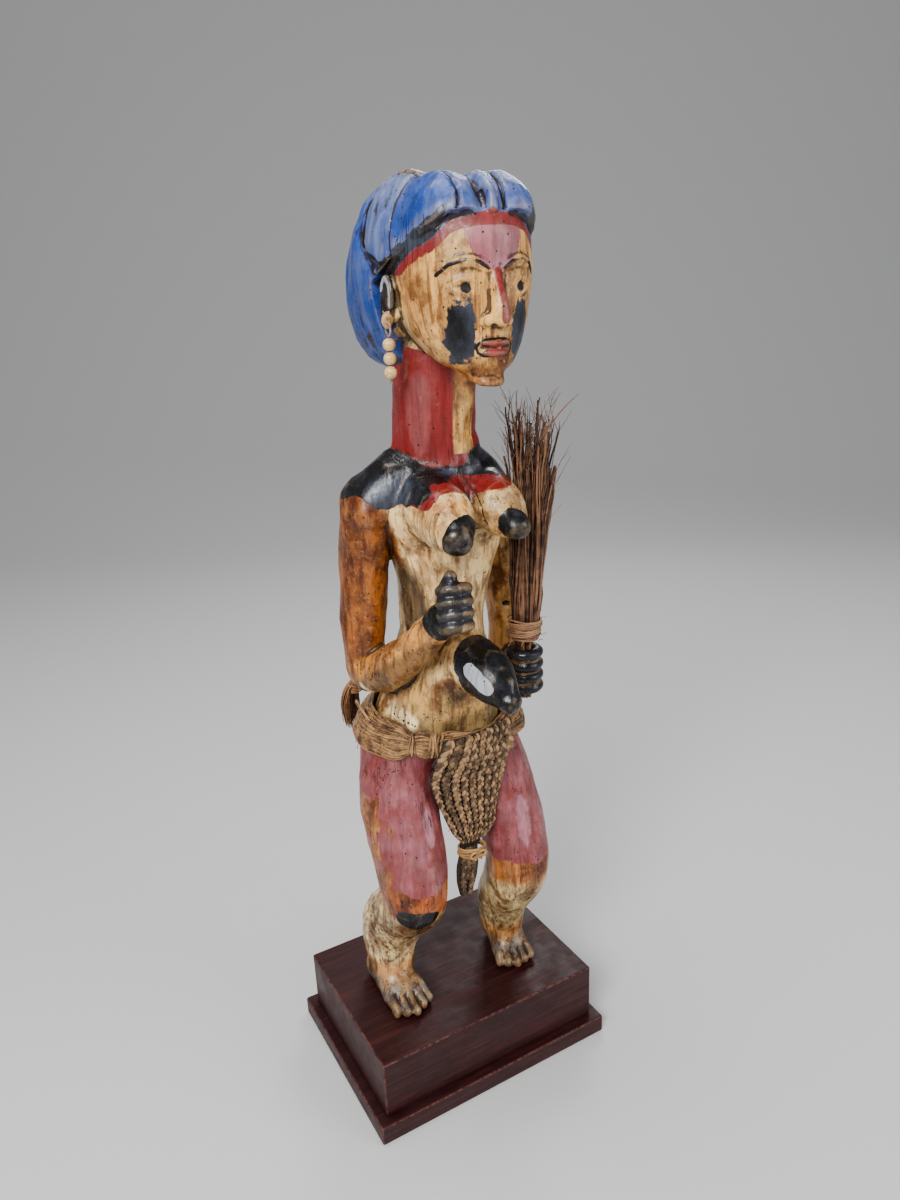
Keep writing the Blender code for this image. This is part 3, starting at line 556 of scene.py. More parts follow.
def limb(bm, stations, side=(1, 0, 0), sides=32, steps=8, level=False):
    """A form through stations of (x, y, z, half width, half depth), with domed ends."""
    run = smooth_run(stations, steps)
    centres, sizes = run[:, :3], run[:, 3:]
    tangents = np.gradient(centres, axis=0)
    tangents /= np.linalg.norm(tangents, axis=1)[:, None]
    reach = sizes.min(axis=1)
    rows = list(zip(centres, sizes, tangents))
    for d, k in DOME:
        rows.insert(0, (centres[0] - tangents[0] * reach[0] * d, sizes[0] * k, tangents[0]))
        rows.append((centres[-1] + tangents[-1] * reach[-1] * d, sizes[-1] * k, tangents[-1]))
    angles = np.linspace(0, math.tau, sides, endpoint=False)
    rings = []
    for centre, (width, depth), tangent in rows:
        along = np.array((0.0, 0.0, 1.0)) if level else tangent
        across = np.array(side, float) - np.dot(side, along) * along
        across /= np.linalg.norm(across)
        deep = np.cross(along, across)
        ring = centre + np.outer(np.cos(angles), across) * width
        ring = ring + np.outer(np.sin(angles), deep) * depth
        rings.append([in_metres(p) for p in ring])
    skin(bm, rings)


def ball(bm, centre, radii, tilt=(0, 0, 0)):
    """An ellipsoid, with tilt in degrees about X, Y and Z."""
    turn = Matrix.Identity(4)
    for angle, axis in zip(tilt[::-1], "ZYX"):
        turn @= Matrix.Rotation(math.radians(angle), 4, axis)
    size = Matrix.Diagonal((*(r * UNIT for r in radii), 1.0))
    matrix = Matrix.Translation(in_metres(centre)) @ turn @ size
    bmesh.ops.create_uvsphere(bm, u_segments=40, v_segments=28, radius=1.0, matrix=matrix)


def cut_ball(bm, centre, radii, tilt, at, keep):
    """An ellipsoid whose part behind a plane is cut off and closed flat."""
    piece = bmesh.new()
    ball(piece, centre, radii, tilt)
    geometry = piece.verts[:] + piece.edges[:] + piece.faces[:]
    cut = bmesh.ops.bisect_plane(
        piece, geom=geometry, plane_co=in_metres(at), plane_no=Vector(keep), clear_inner=True
    )
    edges = [item for item in cut["geom_cut"] if isinstance(item, bmesh.types.BMEdge)]
    bmesh.ops.edgenet_fill(piece, edges=edges)
    bmesh.ops.recalc_face_normals(piece, faces=piece.faces)
    mesh = bpy.data.meshes.new("cut_ball")
    piece.to_mesh(mesh)
    piece.free()
    bm.from_mesh(mesh)
    bpy.data.meshes.remove(mesh)


def carve_legs(bm):
    right = [
        (-33, -4, 212, 30, 34), (-41, -12, 184, 29, 31), (-43, -22, 150, 28, 29),
        (-42, -30, 122, 26, 27), (-41, -28, 98, 24, 25), (-43, -12, 80, 24, 24),
        (-46, 2, 62, 25, 25), (-49, 6, 42, 21, 22), (-49, 4, 24, 18, 19),
    ]
    left = [
        (30, -4, 212, 30, 34), (41, -14, 176, 28, 30), (48, -26, 136, 26, 28),
        (50, -32, 102, 25, 27), (49, -26, 80, 24, 25), (48, -14, 60, 22, 22), (49, -8, 40, 19, 20),
        (50, -6, 22, 17, 18),
    ]
    limb(bm, right)
    limb(bm, left)
    ball(bm, (-40, -42, 104), (17, 13, 16))
    ball(bm, (50, -44, 88), (16, 13, 15))


def carve_foot(bm, heel, toe, half_width):
    """A foot from heel to toe, given on the ground, with five toes."""
    heel, toe = Vector(heel), Vector(toe)
    ahead = (toe - heel).normalized()
    across = Vector((-ahead.y, ahead.x, 0))
    length = (toe - heel).length

    def spot(along, aside, height):
        return tuple(heel + ahead * along * length + across * aside + Vector((0, 0, height)))

    stations = [
        (*spot(0.10, 0, 12), 0.72 * half_width, 13),
        (*spot(0.34, 0, 13), 0.82 * half_width, 16),
        (*spot(0.60, 0, 8), 0.95 * half_width, 12),
        (*spot(0.74, 0, 5), 0.94 * half_width, 6.5),
    ]
    limb(bm, stations, side=tuple(across))
    for i in range(5):
        aside = (i - 2) / 2 * 0.80 * half_width
        reach = 1.0 - 0.05 * abs(i - 2)
        toes = [
            (*spot(0.50, aside * 0.80, 12.0), 2.7, 4.4),
            (*spot(0.70, aside * 0.92, 9.2), 3.1, 5.4),
            (*spot(reach - 0.06, aside, 4.6), 3.4, 4.7),
        ]
        limb(bm, toes, side=tuple(across), sides=20, steps=5)


def carve_torso(bm):
    trunk = [
        (-3, 0, 197, 22, 20), (-4, 0, 207, 46, 34), (-4, -5, 224, 53, 43), (-3, -9, 248, 45, 43),
        (-1, -13, 270, 38, 44), (0, -14, 286, 33, 42), (1, -13, 302, 29, 36), (2, -14, 322, 30, 33),
        (3, -17, 344, 33, 33), (3, -19, 368, 40, 35), (3, -20, 392, 50, 35), (3, -19, 408, 50, 32),
        (3, -19, 422, 40, 28), (3, -19, 432, 28, 26),
    ]
    limb(bm, trunk, level=True, sides=56)
    for side in (-1, 1):
        ball(bm, (side * 24 - 3, 14, 214), (25, 27, 28))
    navel = [
        (1, -52, 292, 19, 19), (3, -70, 287, 18, 18), (5, -84, 280, 14, 15), (6, -93, 274, 9, 9),
    ]
    limb(bm, navel)
    right_breast = [
        (-18, -44, 400, 22, 23), (-20, -60, 397, 20, 21), (-23, -76, 392, 16, 17),
        (-25, -87, 388, 10.5, 11.5),
    ]
    left_breast = [
        (23, -42, 398, 21, 22), (25, -58, 394, 19, 19), (26, -67, 389, 14.0, 14.0),
        (27, -75, 385, 8.6, 8.6),
    ]
    limb(bm, right_breast)
    limb(bm, left_breast)
    yoke = [
        (-46, -9, 397, 20, 23), (-26, -14, 414, 21, 25), (0, -17, 419, 22, 26),
        (25, -16, 410, 21, 25), (40, -12, 398, 18, 22),
    ]
    limb(bm, yoke, side=(0, 0, 1))


def carve_fist(bm, centre, knuckles, palm_down, grip):
    """A closed fist. Its fingers stack along knuckles, and the hand points along palm_down."""
    centre = Vector(centre)
    stack = Vector(knuckles).normalized()
    ahead = Vector(palm_down).normalized()
    out = stack.cross(ahead).normalized()
    for i in range(4):
        level = (i - 1.5) * 0.46 * grip
        ring = []
        for turn in np.linspace(-0.35, 1.05, 9) * math.pi:
            point = centre + stack * level
            point += out * math.cos(turn) * 0.52 * grip + ahead * math.sin(turn) * 0.52 * grip
            ring.append((*point, 4.1, 4.5))
        limb(bm, ring, side=tuple(stack), sides=20, steps=3)
    ball(bm, tuple(centre), (0.60 * grip, 0.60 * grip, 0.94 * grip))


def carve_arms(bm):
    right_upper = [
        (-46, -8, 400, 20, 23), (-49, -2, 372, 17, 22), (-50, 4, 336, 16, 21),
        (-51, 8, 300, 15, 19), (-50, 8, 276, 15, 17),
    ]
    right_fore = [
        (-50, 6, 276, 15, 16), (-46, -18, 284, 15, 16), (-40, -44, 303, 13, 14),
        (-34, -64, 323, 11, 12), (-31, -74, 333, 10, 12),
    ]
    limb(bm, right_upper)
    limb(bm, right_fore)
    carve_fist(bm, (-28, -84, 343), (0.1, 0.25, 1), (0.35, -0.9, 0.3), 17.0)
    thumb = [(-31, -77, 352, 5, 5), (-29.5, -82, 360, 4.9, 4.9), (-29, -84, 364, 4.4, 4.4)]
    limb(bm, thumb, sides=20)
    left_upper = [
        (44, -12, 398, 17, 22), (54, -8, 366, 15, 20), (61, -5, 330, 15, 19), (65, -3, 292, 15, 18),
        (65, -3, 266, 15, 16),
    ]
    left_fore = [(65, -4, 264, 14, 14), (61, -20, 265, 12, 13), (57, -32, 268, 11, 12)]
    limb(bm, left_upper)
    limb(bm, left_fore)
    carve_fist(bm, FIST, (0, 0, 1), (-0.3, -0.9, 0), 19.0)


def carve_head(bm):
    neck = [
        (-1, -16, 418, 32, 29), (-1, -18, 438, 28, 27), (0, -20, 462, 27, 27),
        (1, -22, 492, 27, 28),
    ]
    limb(bm, neck, sides=48, level=True)
    face = [
        (0, -40, 485, 12, 12), (0, -31, 492, 22, 25), (0, -21, 502, 30, 36), (0, -14, 514, 36, 44),
        (0, -9, 528, 40, 50), (0, -6, 543, 42, 53), (0, -4, 564, 41, 53), (0, 0, 577, 34, 47),
        (0, 6, 587, 12, 24),
    ]
    across = head_vector((1, 0, 0))
    limb(bm, head_run(face), side=across, level=True, sides=64)
    nose = [
        (0, -55.5, 543, 3.4, 4), (0, -59, 534, 3.8, 5), (0, -62.5, 524, 4.8, 6),
        (0, -64, 517.5, 6.0, 5.6),
    ]
    limb(bm, head_run(nose), side=across, sides=24)
    for side in (-1, 1):
        ball(bm, in_head((side * 5.4, -59.5, 515.6)), (3.4, 5.0, 3.4), head_tilt(z=side * 16))
    ball(bm, in_head((0, -54.2, 503.6)), (10.8, 5.6, 2.7), head_tilt())
    ball(bm, in_head((0, -53.4, 498.0)), (9.6, 5.8, 3.3), head_tilt())
    ball(bm, in_head((0, -46.5, 488.0)), (11.0, 7.0, 6.0), head_tilt())
    for side in (-1, 1):
        brow = [
            (side * 5, -57, 543.5, 2.4, 2.6),
            (side * 16, -54.8, 547.2, 2.6, 2.6),
            (side * 29, -43.4, 544, 2.0, 2.0),
        ]
        limb(bm, head_run(brow), side=(0, 0, 1), sides=16, steps=6)
        ball(bm, in_head((side * 16.5, -48.6, 533.4)), (8.6, 5.6, 5.2), head_tilt(z=side * 20))
        for rise, bow in ((1, 4.4), (-1, 3.2)):
            lid = []
            for share in np.linspace(-1, 1, 7):
                x = side * 16.5 + 9.0 * share
                away = -52.9 + 3.0 * share * side + 3.4 * share**2 - 0.1 * abs(x)
                lid.append((x, away, 533.4 + rise * bow * (1 - share**2) + 0.2, 1.0, 1.2))
            limb(bm, head_run(lid), side=(0, 0, 1), sides=12, steps=4)
        carve_ear(bm, side)


def ear_bow(turn):
    """How far back and how high the ear's rim lies at one turn of its bow."""
    return EAR[1] + 7.5 * math.sin(turn - 0.3), EAR[2] + 12.5 * math.cos(turn - 0.1)


def carve_ear(bm, side):
    rim = []
    for turn in np.linspace(-0.55, 1.15, 12) * math.pi:
        rim.append((side * (EAR[0] + 1.5), *ear_bow(turn), 2.1, 2.6))
    limb(bm, head_run(rim), side=head_vector((1, 0, 0)), sides=16, steps=4)
    ball(bm, in_head((side * (EAR[0] - 3.2), EAR[1], EAR[2])), (3.4, 8, 13), head_tilt())
    inner = [
        (side * (EAR[0] - 0.4), EAR[1] - 1.0, EAR[2] + 7.0, 1.2, 1.5),
        (side * (EAR[0] - 0.2), EAR[1] + 2.6, EAR[2] + 1.0, 1.2, 1.5),
        (side * (EAR[0] - 0.4), EAR[1] - 0.6, EAR[2] - 6.0, 1.2, 1.5),
    ]
    limb(bm, head_run(inner), side=head_vector((1, 0, 0)), sides=12)
    ball(bm, in_head((side * LOBE[0], LOBE[1], LOBE[2])), (4.0, 3.2, 5.6), head_tilt())


def carve_coiffure(bm):
    hairline = in_head(HAIRLINE)
    slope = head_vector(HAIR_SLOPE)
    for side in (-1, 1):
        lobe = in_head((side * LOBE_SIZE[0] * 0.76, *LOBE_CENTRE))
        tilt = head_tilt(x=LOBE_TILT)
        cut_ball(bm, lobe, LOBE_SIZE, tilt, hairline, slope)
        cut_ball(bm, lobe, LOBE_SIZE, tilt, in_head((0, 12, 540)), head_vector((0, 1, 0)))
        crown = in_head((side * CROWN_CENTRE[0], *CROWN_CENTRE[1:]))
        cut_ball(bm, crown, CROWN_SIZE, head_tilt(), hairline, slope)
    limb(bm, head_run(RIDGE), side=head_vector((1, 0, 0)), sides=20)
    ball(bm, in_head(BACK_HAIR[0]), BACK_HAIR[1], head_tilt(x=LOBE_TILT))


def carve_figure(bm):
    carve_legs(bm)
    carve_foot(bm, (-54, 24, 0), (-50, -44, 0), 18.0)
    carve_foot(bm, (55, 12, 0), (44, -41, 0), 17.0)
    carve_torso(bm)
    carve_arms(bm)
    carve_head(bm)
    carve_coiffure(bm)


# Measures on the carving, in carver's units: each field is positive inside a form


def smooth(value, low, high):
    share = np.clip((value - low) / (high - low), 0, 1)
    return share * share * (3 - 2 * share)


def to_head(points):
    return (points - HEAD_CENTRE) @ head_axes() + (0, 0, HEAD_CENTRE[2])


def lump(points, centre, radii, tilt=0.0):
    """How far points lie inside an ellipsoid that is tilted about X."""
    offset = points - np.array(centre, float)
    if tilt:
        c, s = math.cos(math.radians(-tilt)), math.sin(math.radians(-tilt))
        y, z = offset[:, 1].copy(), offset[:, 2].copy()
        offset = np.stack([offset[:, 0], c * y - s * z, s * y + c * z], 1)
    scaled = np.linalg.norm(offset / np.array(radii, float), axis=1)
    return (1 / np.maximum(scaled, 1e-6) - 1) * np.linalg.norm(offset, axis=1)


def within(points, centre, radii, low, high):
    """How surely points lie inside an ellipsoid, from 0 at depth low to 1 at depth high."""
    return smooth(lump(points, centre, radii), low, high)


def near_run(points, run):
    """The distance from points to a run of straight stretches."""
    best = np.full(len(points), 1e9)
    run = np.array(run, float)
    for a, b in zip(run, run[1:]):
        along = b - a
        share = np.clip(((points - a) @ along) / (along @ along), 0, 1)
        best = np.minimum(best, np.linalg.norm(points - a - share[:, None] * along, axis=1))
    return best


def in_fists(points, left=FIST_SIZE, right=RIGHT_FIST_SIZE):
    """How far points lie inside either fist."""
    return np.maximum(lump(points, FIST, left), lump(points, RIGHT_FIST, right))


def lobes(head):
    """How far points lie inside the coiffure's lobes and ridge."""
    inside = lump(head, *BACK_HAIR, LOBE_TILT)
    for side in (-1, 1):
        lobe = (side * LOBE_SIZE[0] * 0.76, *LOBE_CENTRE)
        crown = (side * CROWN_CENTRE[0], *CROWN_CENTRE[1:])
        inside = np.maximum(inside, lump(head, lobe, LOBE_SIZE, LOBE_TILT))
        inside = np.maximum(inside, lump(head, crown, CROWN_SIZE))
    return np.maximum(inside, 5.0 - near_run(head, [row[:3] for row in RIDGE]))


def hairline_depth(head):
    """How far points lie above the hairline's plane."""
    return (head - HAIRLINE) @ (HAIR_SLOPE / np.linalg.norm(HAIR_SLOPE))


def seam_planes():
    """The grooves that part the coiffure into panels: three points on each, in the head's frame."""
    return [
        ((-20, -12, 598), (-40, -9.5, 577), (-44, -11.8, 551)),
        ((-22, 14, 598), (-44, 27, 577), (-49, 9, 543)),
        ((-17.5, -43, 589), (-23, -51, 571), (-20, -20, 598)),
        ((9.5, -43, 587), (8.0, -54, 571), (16, 0, 598)),
        ((22, -12, 598), (42, -9, 577), (45, -14, 551)),
        ((20, 24, 596), (42, 34, 577), (49, 22, 543)),
    ]


def seam_distance(head):
    best = np.full(len(head), 1e9)
    for a, b, c in seam_planes():
        a, b, c = (np.array(p, float) for p in (a, b, c))
        normal = np.cross(b - a, c - a)
        normal /= np.linalg.norm(normal)
        off = np.abs((head - a) @ normal)
        off = off + 2.5 * np.maximum(0, -np.sign(a[0]) * head[:, 0])
        best = np.minimum(best, off)
    return best


def wobble(points, scale, seed=0.0):
    """Smooth noise at each point, from about -1 to 1."""
    return np.array(
        [noise.noise(Vector(p) * scale + Vector((seed, seed * 1.7, -seed))) for p in points]
    )


def facets(points, size):
    """Shallow scoops with crisp rims between them, from 0 to about 1, as an adze leaves them."""
    found = []
    for x, y, z in points:
        distances, _ = noise.voronoi(Vector((x / size, y / size, z / (1.9 * size))))
        found.append(min(1.0, distances[0]))
    return np.array(found)


def marks(points, head):
    """Grooves to cut, as (distance field, half width, depth)."""
    found = [(near_run(points, CRACK), 0.9, 1.1)]
    in_hair = (lobes(head) > -2.5) & (hairline_depth(head) > 0.5)
    found.append((np.where(in_hair, seam_distance(head), 9.0), 1.2, 1.7))
    mouth = [(-8.6, -56.5, 501.4), (-3, -59.6, 500.7), (3, -59.6, 500.7), (8.6, -56.5, 501.4)]
    found.append((near_run(head, mouth), 0.9, 1.2))
    for side in (-1, 1):
        found.append((near_run(head, nostril(side)), 1.5, 1.8))
        found.append((near_run(head, [(side * 44, -1.5, 529.5), (side * 44, 0.0, 521)]), 2.6, 1.6))
    bores = [
        ([(-26.3, -101.5, 386.4), (-25.5, -97, 387.0)], 1.3, 1.6),
        ([(29.0, -91.5, 382.2), (28.4, -88, 383.0)], 1.2, 1.4),
        ([(54.2, -18.7, 311.4), (56.5, -15, 311.4)], 2.3, 3.4),
    ]
    found += [(near_run(points, run), width, depth) for run, width, depth in bores]
    ring = []
    for turn in np.linspace(0, math.tau, 13):
        c, s = math.cos(turn), math.sin(turn)
        ring.append((6.5 + 6.2 * c, -99.0 + 0.4 * s, 272.5 + 6.2 * s))
    found.append((near_run(points, ring), 1.0, 0.7))
    for x, y, z in hole_row():
        found.append((np.linalg.norm(points - (x, y, z), axis=1), 1.0, 0.9))
    return found


def nostril(side):
    return [(side * 4.2, -64, 512.6), (side * 3.4, -60, 513.4)]


def hole_row():
    """Small nail holes on the pale band above the belt."""
    band = [
        (-57.5, -6, 268), (-52, -14, 258.5), (-45, -22, 250.5), (-40, -33, 246.2), (-36, -40, 244.0)
    ]
    return [tuple(p) for p in smooth_run(band, 3)]


def points_of(mesh):
    """The mesh's points as rows of metres."""
    co = np.empty(len(mesh.vertices) * 3)
    mesh.vertices.foreach_get("co", co)
    return co.reshape(-1, 3)


def normals_of(mesh):
    normals = np.empty(len(mesh.vertices) * 3, np.float32)
    mesh.vertex_normals.foreach_get("vector", normals)
    return normals.reshape(-1, 3).astype(float)


def put_back(mesh, co):
    mesh.vertices.foreach_set("co", co.ravel())
    mesh.update()


def in_units(co):
    """Metres above the base's underside to carver's units above the soles."""
    return (co - (0, 0, SOLE)) / UNIT


def edges_of(mesh):
    """The points at the two ends of each edge."""
    edges = np.empty(len(mesh.edges) * 2, np.int64)
    mesh.edges.foreach_get("vertices", edges)
    return edges.reshape(-1, 2).T


def sculpted(obj, figure):
    """Cuts facets, grooves and slight unevenness into the fused block."""
    mesh = obj.data
    co, normals = points_of(mesh), normals_of(mesh)
    points = in_units(co)
    head = to_head(points)
    shift = 0.35 * wobble(points, 1 / 26.0) + 0.10 * wobble(points, 1 / 6.0, 5.0)
    face = (
        smooth(-head[:, 1], 30, 40) * smooth(points[:, 2], 484, 488)
        * smooth(-hairline_depth(head), 0, 3)
    )
    hands = in_fists(points, (21, 21, 22), (18, 18, 24))
    calm = np.maximum(0.75 * face, smooth(hands, -2, 2))
    scoop = facets(points, figure.facet_size / UNIT)
    shift += (scoop**1.5 - 0.42) * (figure.facet_depth / UNIT) * 2.0
    shift *= 1 - 0.85 * calm
    for distance, width, depth in marks(points, head):
        shift -= depth * np.exp(-((distance / width) ** 2))
    neck = smooth(points[:, 2], 423.6, 424.8) * smooth(-points[:, 2], -500, -480)
    shift += 0.5 * neck * (np.hypot(points[:, 0] + 0.5, points[:, 1] + 18) < 34)
    hair = np.minimum(lobes(head) + 2.0, np.maximum(hairline_depth(head), head[:, 1] - 12))
    shift += 0.25 * smooth(hair, 0, 1) * wobble(points * (1, 1, 0.22), 1 / 3.2, 9.0)
    above = smooth(points[:, 2], 0.5, 4.0)
    co += normals * (shift * above * UNIT)[:, None]
    co[:, 2] = np.clip(co[:, 2], SOLE, TOP + 0.0015)
    put_back(mesh, co)


def shoulder_edge(points):
    """Where the black of the shoulders ends, as a height for each point."""
    x = (-62, -52, -44, -39, -33, -26, 0, 15, 30, 36, 42, 60)
    z = (411, 401, 400, 404, 411, 418, 419, 417, 417, 411, 402, 402)
    front = np.interp(points[:, 0], x, z)
    share = smooth(-points[:, 1], 0, 24)
    return share * front + (1 - share) * 404.0


def paint_fields(points, head):
    """Every coat's field, in carver's units: positive where the coat lies."""
    x, y, z = points.T
    hx, hy, hz = head.T
    stir = wobble(points, 1 / 4.0, 61.0)
    line = hairline_depth(head) + 5.0 * smooth(np.abs(hx), 20, 32)
    hair = np.minimum(lobes(head) + 2.2, np.maximum(line + 0.9, hy - 12.0))
    bare = np.minimum.reduce([hz - 577, 34 - np.abs(hy - 14), -np.abs(np.abs(hx) - 24) + 16])
    blue = np.minimum(hair, 1.6 - 0.14 * np.maximum(bare, -10))
    blue = np.minimum(blue, np.where(hair > -4, 1.9, 9.0))
    neck_wide = np.hypot(x + 0.5, y + 18)
    low = np.interp(hy, (-45, -20, 0, 40), (484, 489, 497, 505))
    neck = np.minimum.reduce([34.5 - neck_wide, z - 424.2, low - hz])
    around = np.degrees(np.arctan2(x + 0.5, -(y + 18)))
    strip = (19.0 - np.abs(around - 17.0)) * 0.5
    brow_band = np.minimum.reduce([-line + 0.2, line + 8.5 - 0.05 * np.abs(hx), 8 - hy, hz - 541])
    black_edge = z - shoulder_edge(points) + smooth(y, -4, 12) * (8 - 0.008 * x**2) + 1.2 * stir
    arcs_x = (-39, -36, -32, -27, -18, -8, -2, 4, 9, 14, 22, 30, 36)
    arcs_z = (405, 404, 409, 413, 414, 411, 405, 404, 407, 409, 410, 411, 412)
    arcs = np.minimum.reduce([z - np.interp(x, arcs_x, arcs_z), -34 - y, 39 - np.abs(x), 432 - z])
    nose = 3.2 - near_run(head, [(0.8, -61, 541), (1.2, -66, 528), (1.2, -69, 517)])
    wrist = lump(points, (-36, -60, 321), (9, 7, 9))
    lips = np.maximum(
        lump(head, (0, -57, 503.2), (9.6, 5, 2.1)), lump(head, (0, -57, 498.2), (8.4, 5, 2.5))
    )
    red = np.maximum.reduce([np.minimum(neck, -strip), brow_band, arcs, nose, wrist - 1.5, lips])
    width = np.interp(hz, (540, 545, 551, 560, 580), (0.5, 6.5, 14, 17, 18))
    centre_band = np.minimum.reduce([width - np.abs(hx - 0.5), hz - 539, -35 - hy, -line - 5.0])
    right = (x < 0).astype(float)
    knee = 125 * right + 118 * (1 - right) + 0.25 * (y + 30) + 5.0 * wobble(points, 1 / 11.0, 71.0)
    thigh = np.minimum.reduce([z - knee, 233 - z, np.where(z < 245, 9.0, -9.0)])
    rubbed = (
        6.0 * wobble(points * (1, 1, 0.5), 1 / 8.0, 91.0)
        + 3.0 * wobble(points * (1, 1, 0.4), 1 / 3.0, 93.0)
    )
    thigh = np.minimum(
        thigh, 2.5 + (0.45 * (x + 64) * right + 0.45 * (66 - x) * (1 - right)) + rubbed
    )
    facet = lump(points, *NECK_FACET)
    ear = lump(head, (-44, -2, 523), (5, 6, 9)) - 1.5
    mauve = np.maximum.reduce([centre_band, thigh, ear, np.minimum(facet, 40.0)])
    cone_right = np.minimum(
        -84.5 - y + 0.25 * (x + 24) + 0.25 * (389 - z), lump(points, (-24, -90, 389), (21, 21, 21))
    )
    cone_left = np.minimum(
        -73.0 - y - 0.15 * (x - 27) + 0.25 * (386 - z), lump(points, (27, -80, 386), (18, 18, 18))
    )
    navel = lump(points, (3, -80, 287), (27, 34, 34))
    navel = np.minimum(navel, -(55.0 + 0.42 * (308 - z)) - y + 2.0 * stir)
    patch = lump(points, (-50, -48, 96), (18, 13, 10)) + 1.6 * stir
    fist_right = np.minimum(
        lump(points, (-29, -84, 347), (25, 25, 27)), 0.8 * (-62 - y) + 0.6 * (x + 46)
    )
    fist_left = np.minimum(lump(points, FIST, FIST_SIZE), -24.0 - y)
    hair_rim = np.minimum.reduce(
        [hair, 5.2 - np.abs(line - 2.5) + 1.5 * stir, np.abs(hx) - 26, 3 - hy + 4.0 * stir]
    )
    nape = np.minimum(hair, 5.0 - np.abs(hz - np.interp(hy, (-10, 60), (520, 496))))
    cheeks = np.full(len(x), -9.0)
    for side in (-1, 1):
        middle = side * np.interp(hz, (494, 505, 528), (17.5, 18.5, 19))
        oval = np.sqrt(((hx - middle) / 7.0) ** 2 + (np.abs(hz - 509.5) / 17.5) ** 2.8)
        cheek = np.minimum((1 - oval) * 5.0 + 1.8 * wobble(head, 1 / 3.2, 81.0), -20 - hy)
        cheeks = np.maximum(cheeks, cheek)
    folded = np.abs(head * (-1, 0, 0)) * (1, 0, 0) + head * (0, 1, 1)
    bow = [(EAR[0] + 1.8, *ear_bow(turn)) for turn in np.linspace(-1.7, 2.9, 14)]
    ear_rim = 3.2 - near_run(folded, bow)
    # A pale line just outside each ear's black rim: painted highlight.
    ear_rim_highlight = 1.7 - near_run(folded, [(p[0] + 1.6, p[1], p[2]) for p in bow[:9]])
    black = np.maximum.reduce([
        np.minimum(black_edge, 424.5 - z), cone_right, cone_left, navel, patch, fist_right,
        fist_left, hair_rim, cheeks, ear_rim, nape - 2.5,
    ])
    shoulder_top = np.minimum(z - 421, neck_wide - 29.0)
    black = np.maximum(black, np.minimum(np.minimum(shoulder_top, 436 - z), 30.0))
    # Painted highlight: a pale grey glint on the navel's black cone, joined with the ears' rim
    # highlight.
    painted_highlight = (
        5.4 - near_run(points, [(-12.5, -74, 293.5), (-10.5, -80, 289.5), (-7.5, -87, 284.5)])
        + 0.8 * stir
    )
    painted_highlight = np.maximum(np.minimum(painted_highlight, navel + 2), ear_rim_highlight)
    return {"blue": blue, "red": red, "mauve": mauve, "black": black, "painted_highlight": painted_highlight}, hair


def line_field(points, head):
    """Fine dark lines: brows, lids, pupils, the lips' outline, nostrils, checks and nail holes."""
    strokes = []
    for side in (-1, 1):
        brow = [
            (4, -60, 542.5), (10, -58.5, 546.4), (17, -56, 547.6), (25, -49.5, 545.4),
            (30, -43, 540)
        ]
        lid = [
            (8, -53.8, 533.0), (12, -55.4, 536.6), (17, -54.4, 537.8), (22, -51.4, 536.4),
            (25.4, -48, 533.4)
        ]
        under = [(9, -60, 519), (10, -58, 514.5), (4, -62, 511.8)]
        for half, run in ((1.15, brow), (0.85, lid), (0.7, under)):
            strokes.append((half, head, [(side * x, y, z) for x, y, z in run]))
        strokes.append((1.3, head, nostril(side)))
    outline = []
    for turn in np.linspace(0, math.tau, 25):
        across = 11.3 * math.cos(turn)
        outline.append((across, -58.6 + 0.035 * across**2, 500.6 + 5.6 * math.sin(turn)))
    mouth = [(-8.6, -56.5, 501.4), (0, -59.8, 500.6), (8.6, -56.5, 501.4)]
    strokes += [(1.0, head, outline), (0.75, head, mouth), (0.55, points, CRACK[:-1])]
    found = np.maximum.reduce([half - near_run(space, run) for half, space, run in strokes])
    spots = [(head, (side * 16.8, -54.2, 533.2), 3.0) for side in (-1, 1)]
    for at, size in TIP_HOLES:
        nearest = points[np.argmin(np.linalg.norm(points - at, axis=1))]
        spots.append((points, nearest, size))
    spots += [(points, hole, 1.0) for hole in hole_row()]
    for space, at, size in spots:
        found = np.maximum(found, size - np.linalg.norm(space - at, axis=1))
    seams = np.where(lobes(head) > -2.5, 0.8 - seam_distance(head), -9.0)
    seams = np.minimum(seams, hairline_depth(head) + 5.0 * smooth(np.abs(head[:, 0]), 20, 32))
    return np.maximum(found, seams + 0.35 * wobble(points, 1 / 7.0, 3.0))


def turned_by(angle):
    """The turn that leans a field's streaks over by an angle in degrees."""
    return np.array(Matrix.Rotation(math.radians(angle), 3, "Y"))


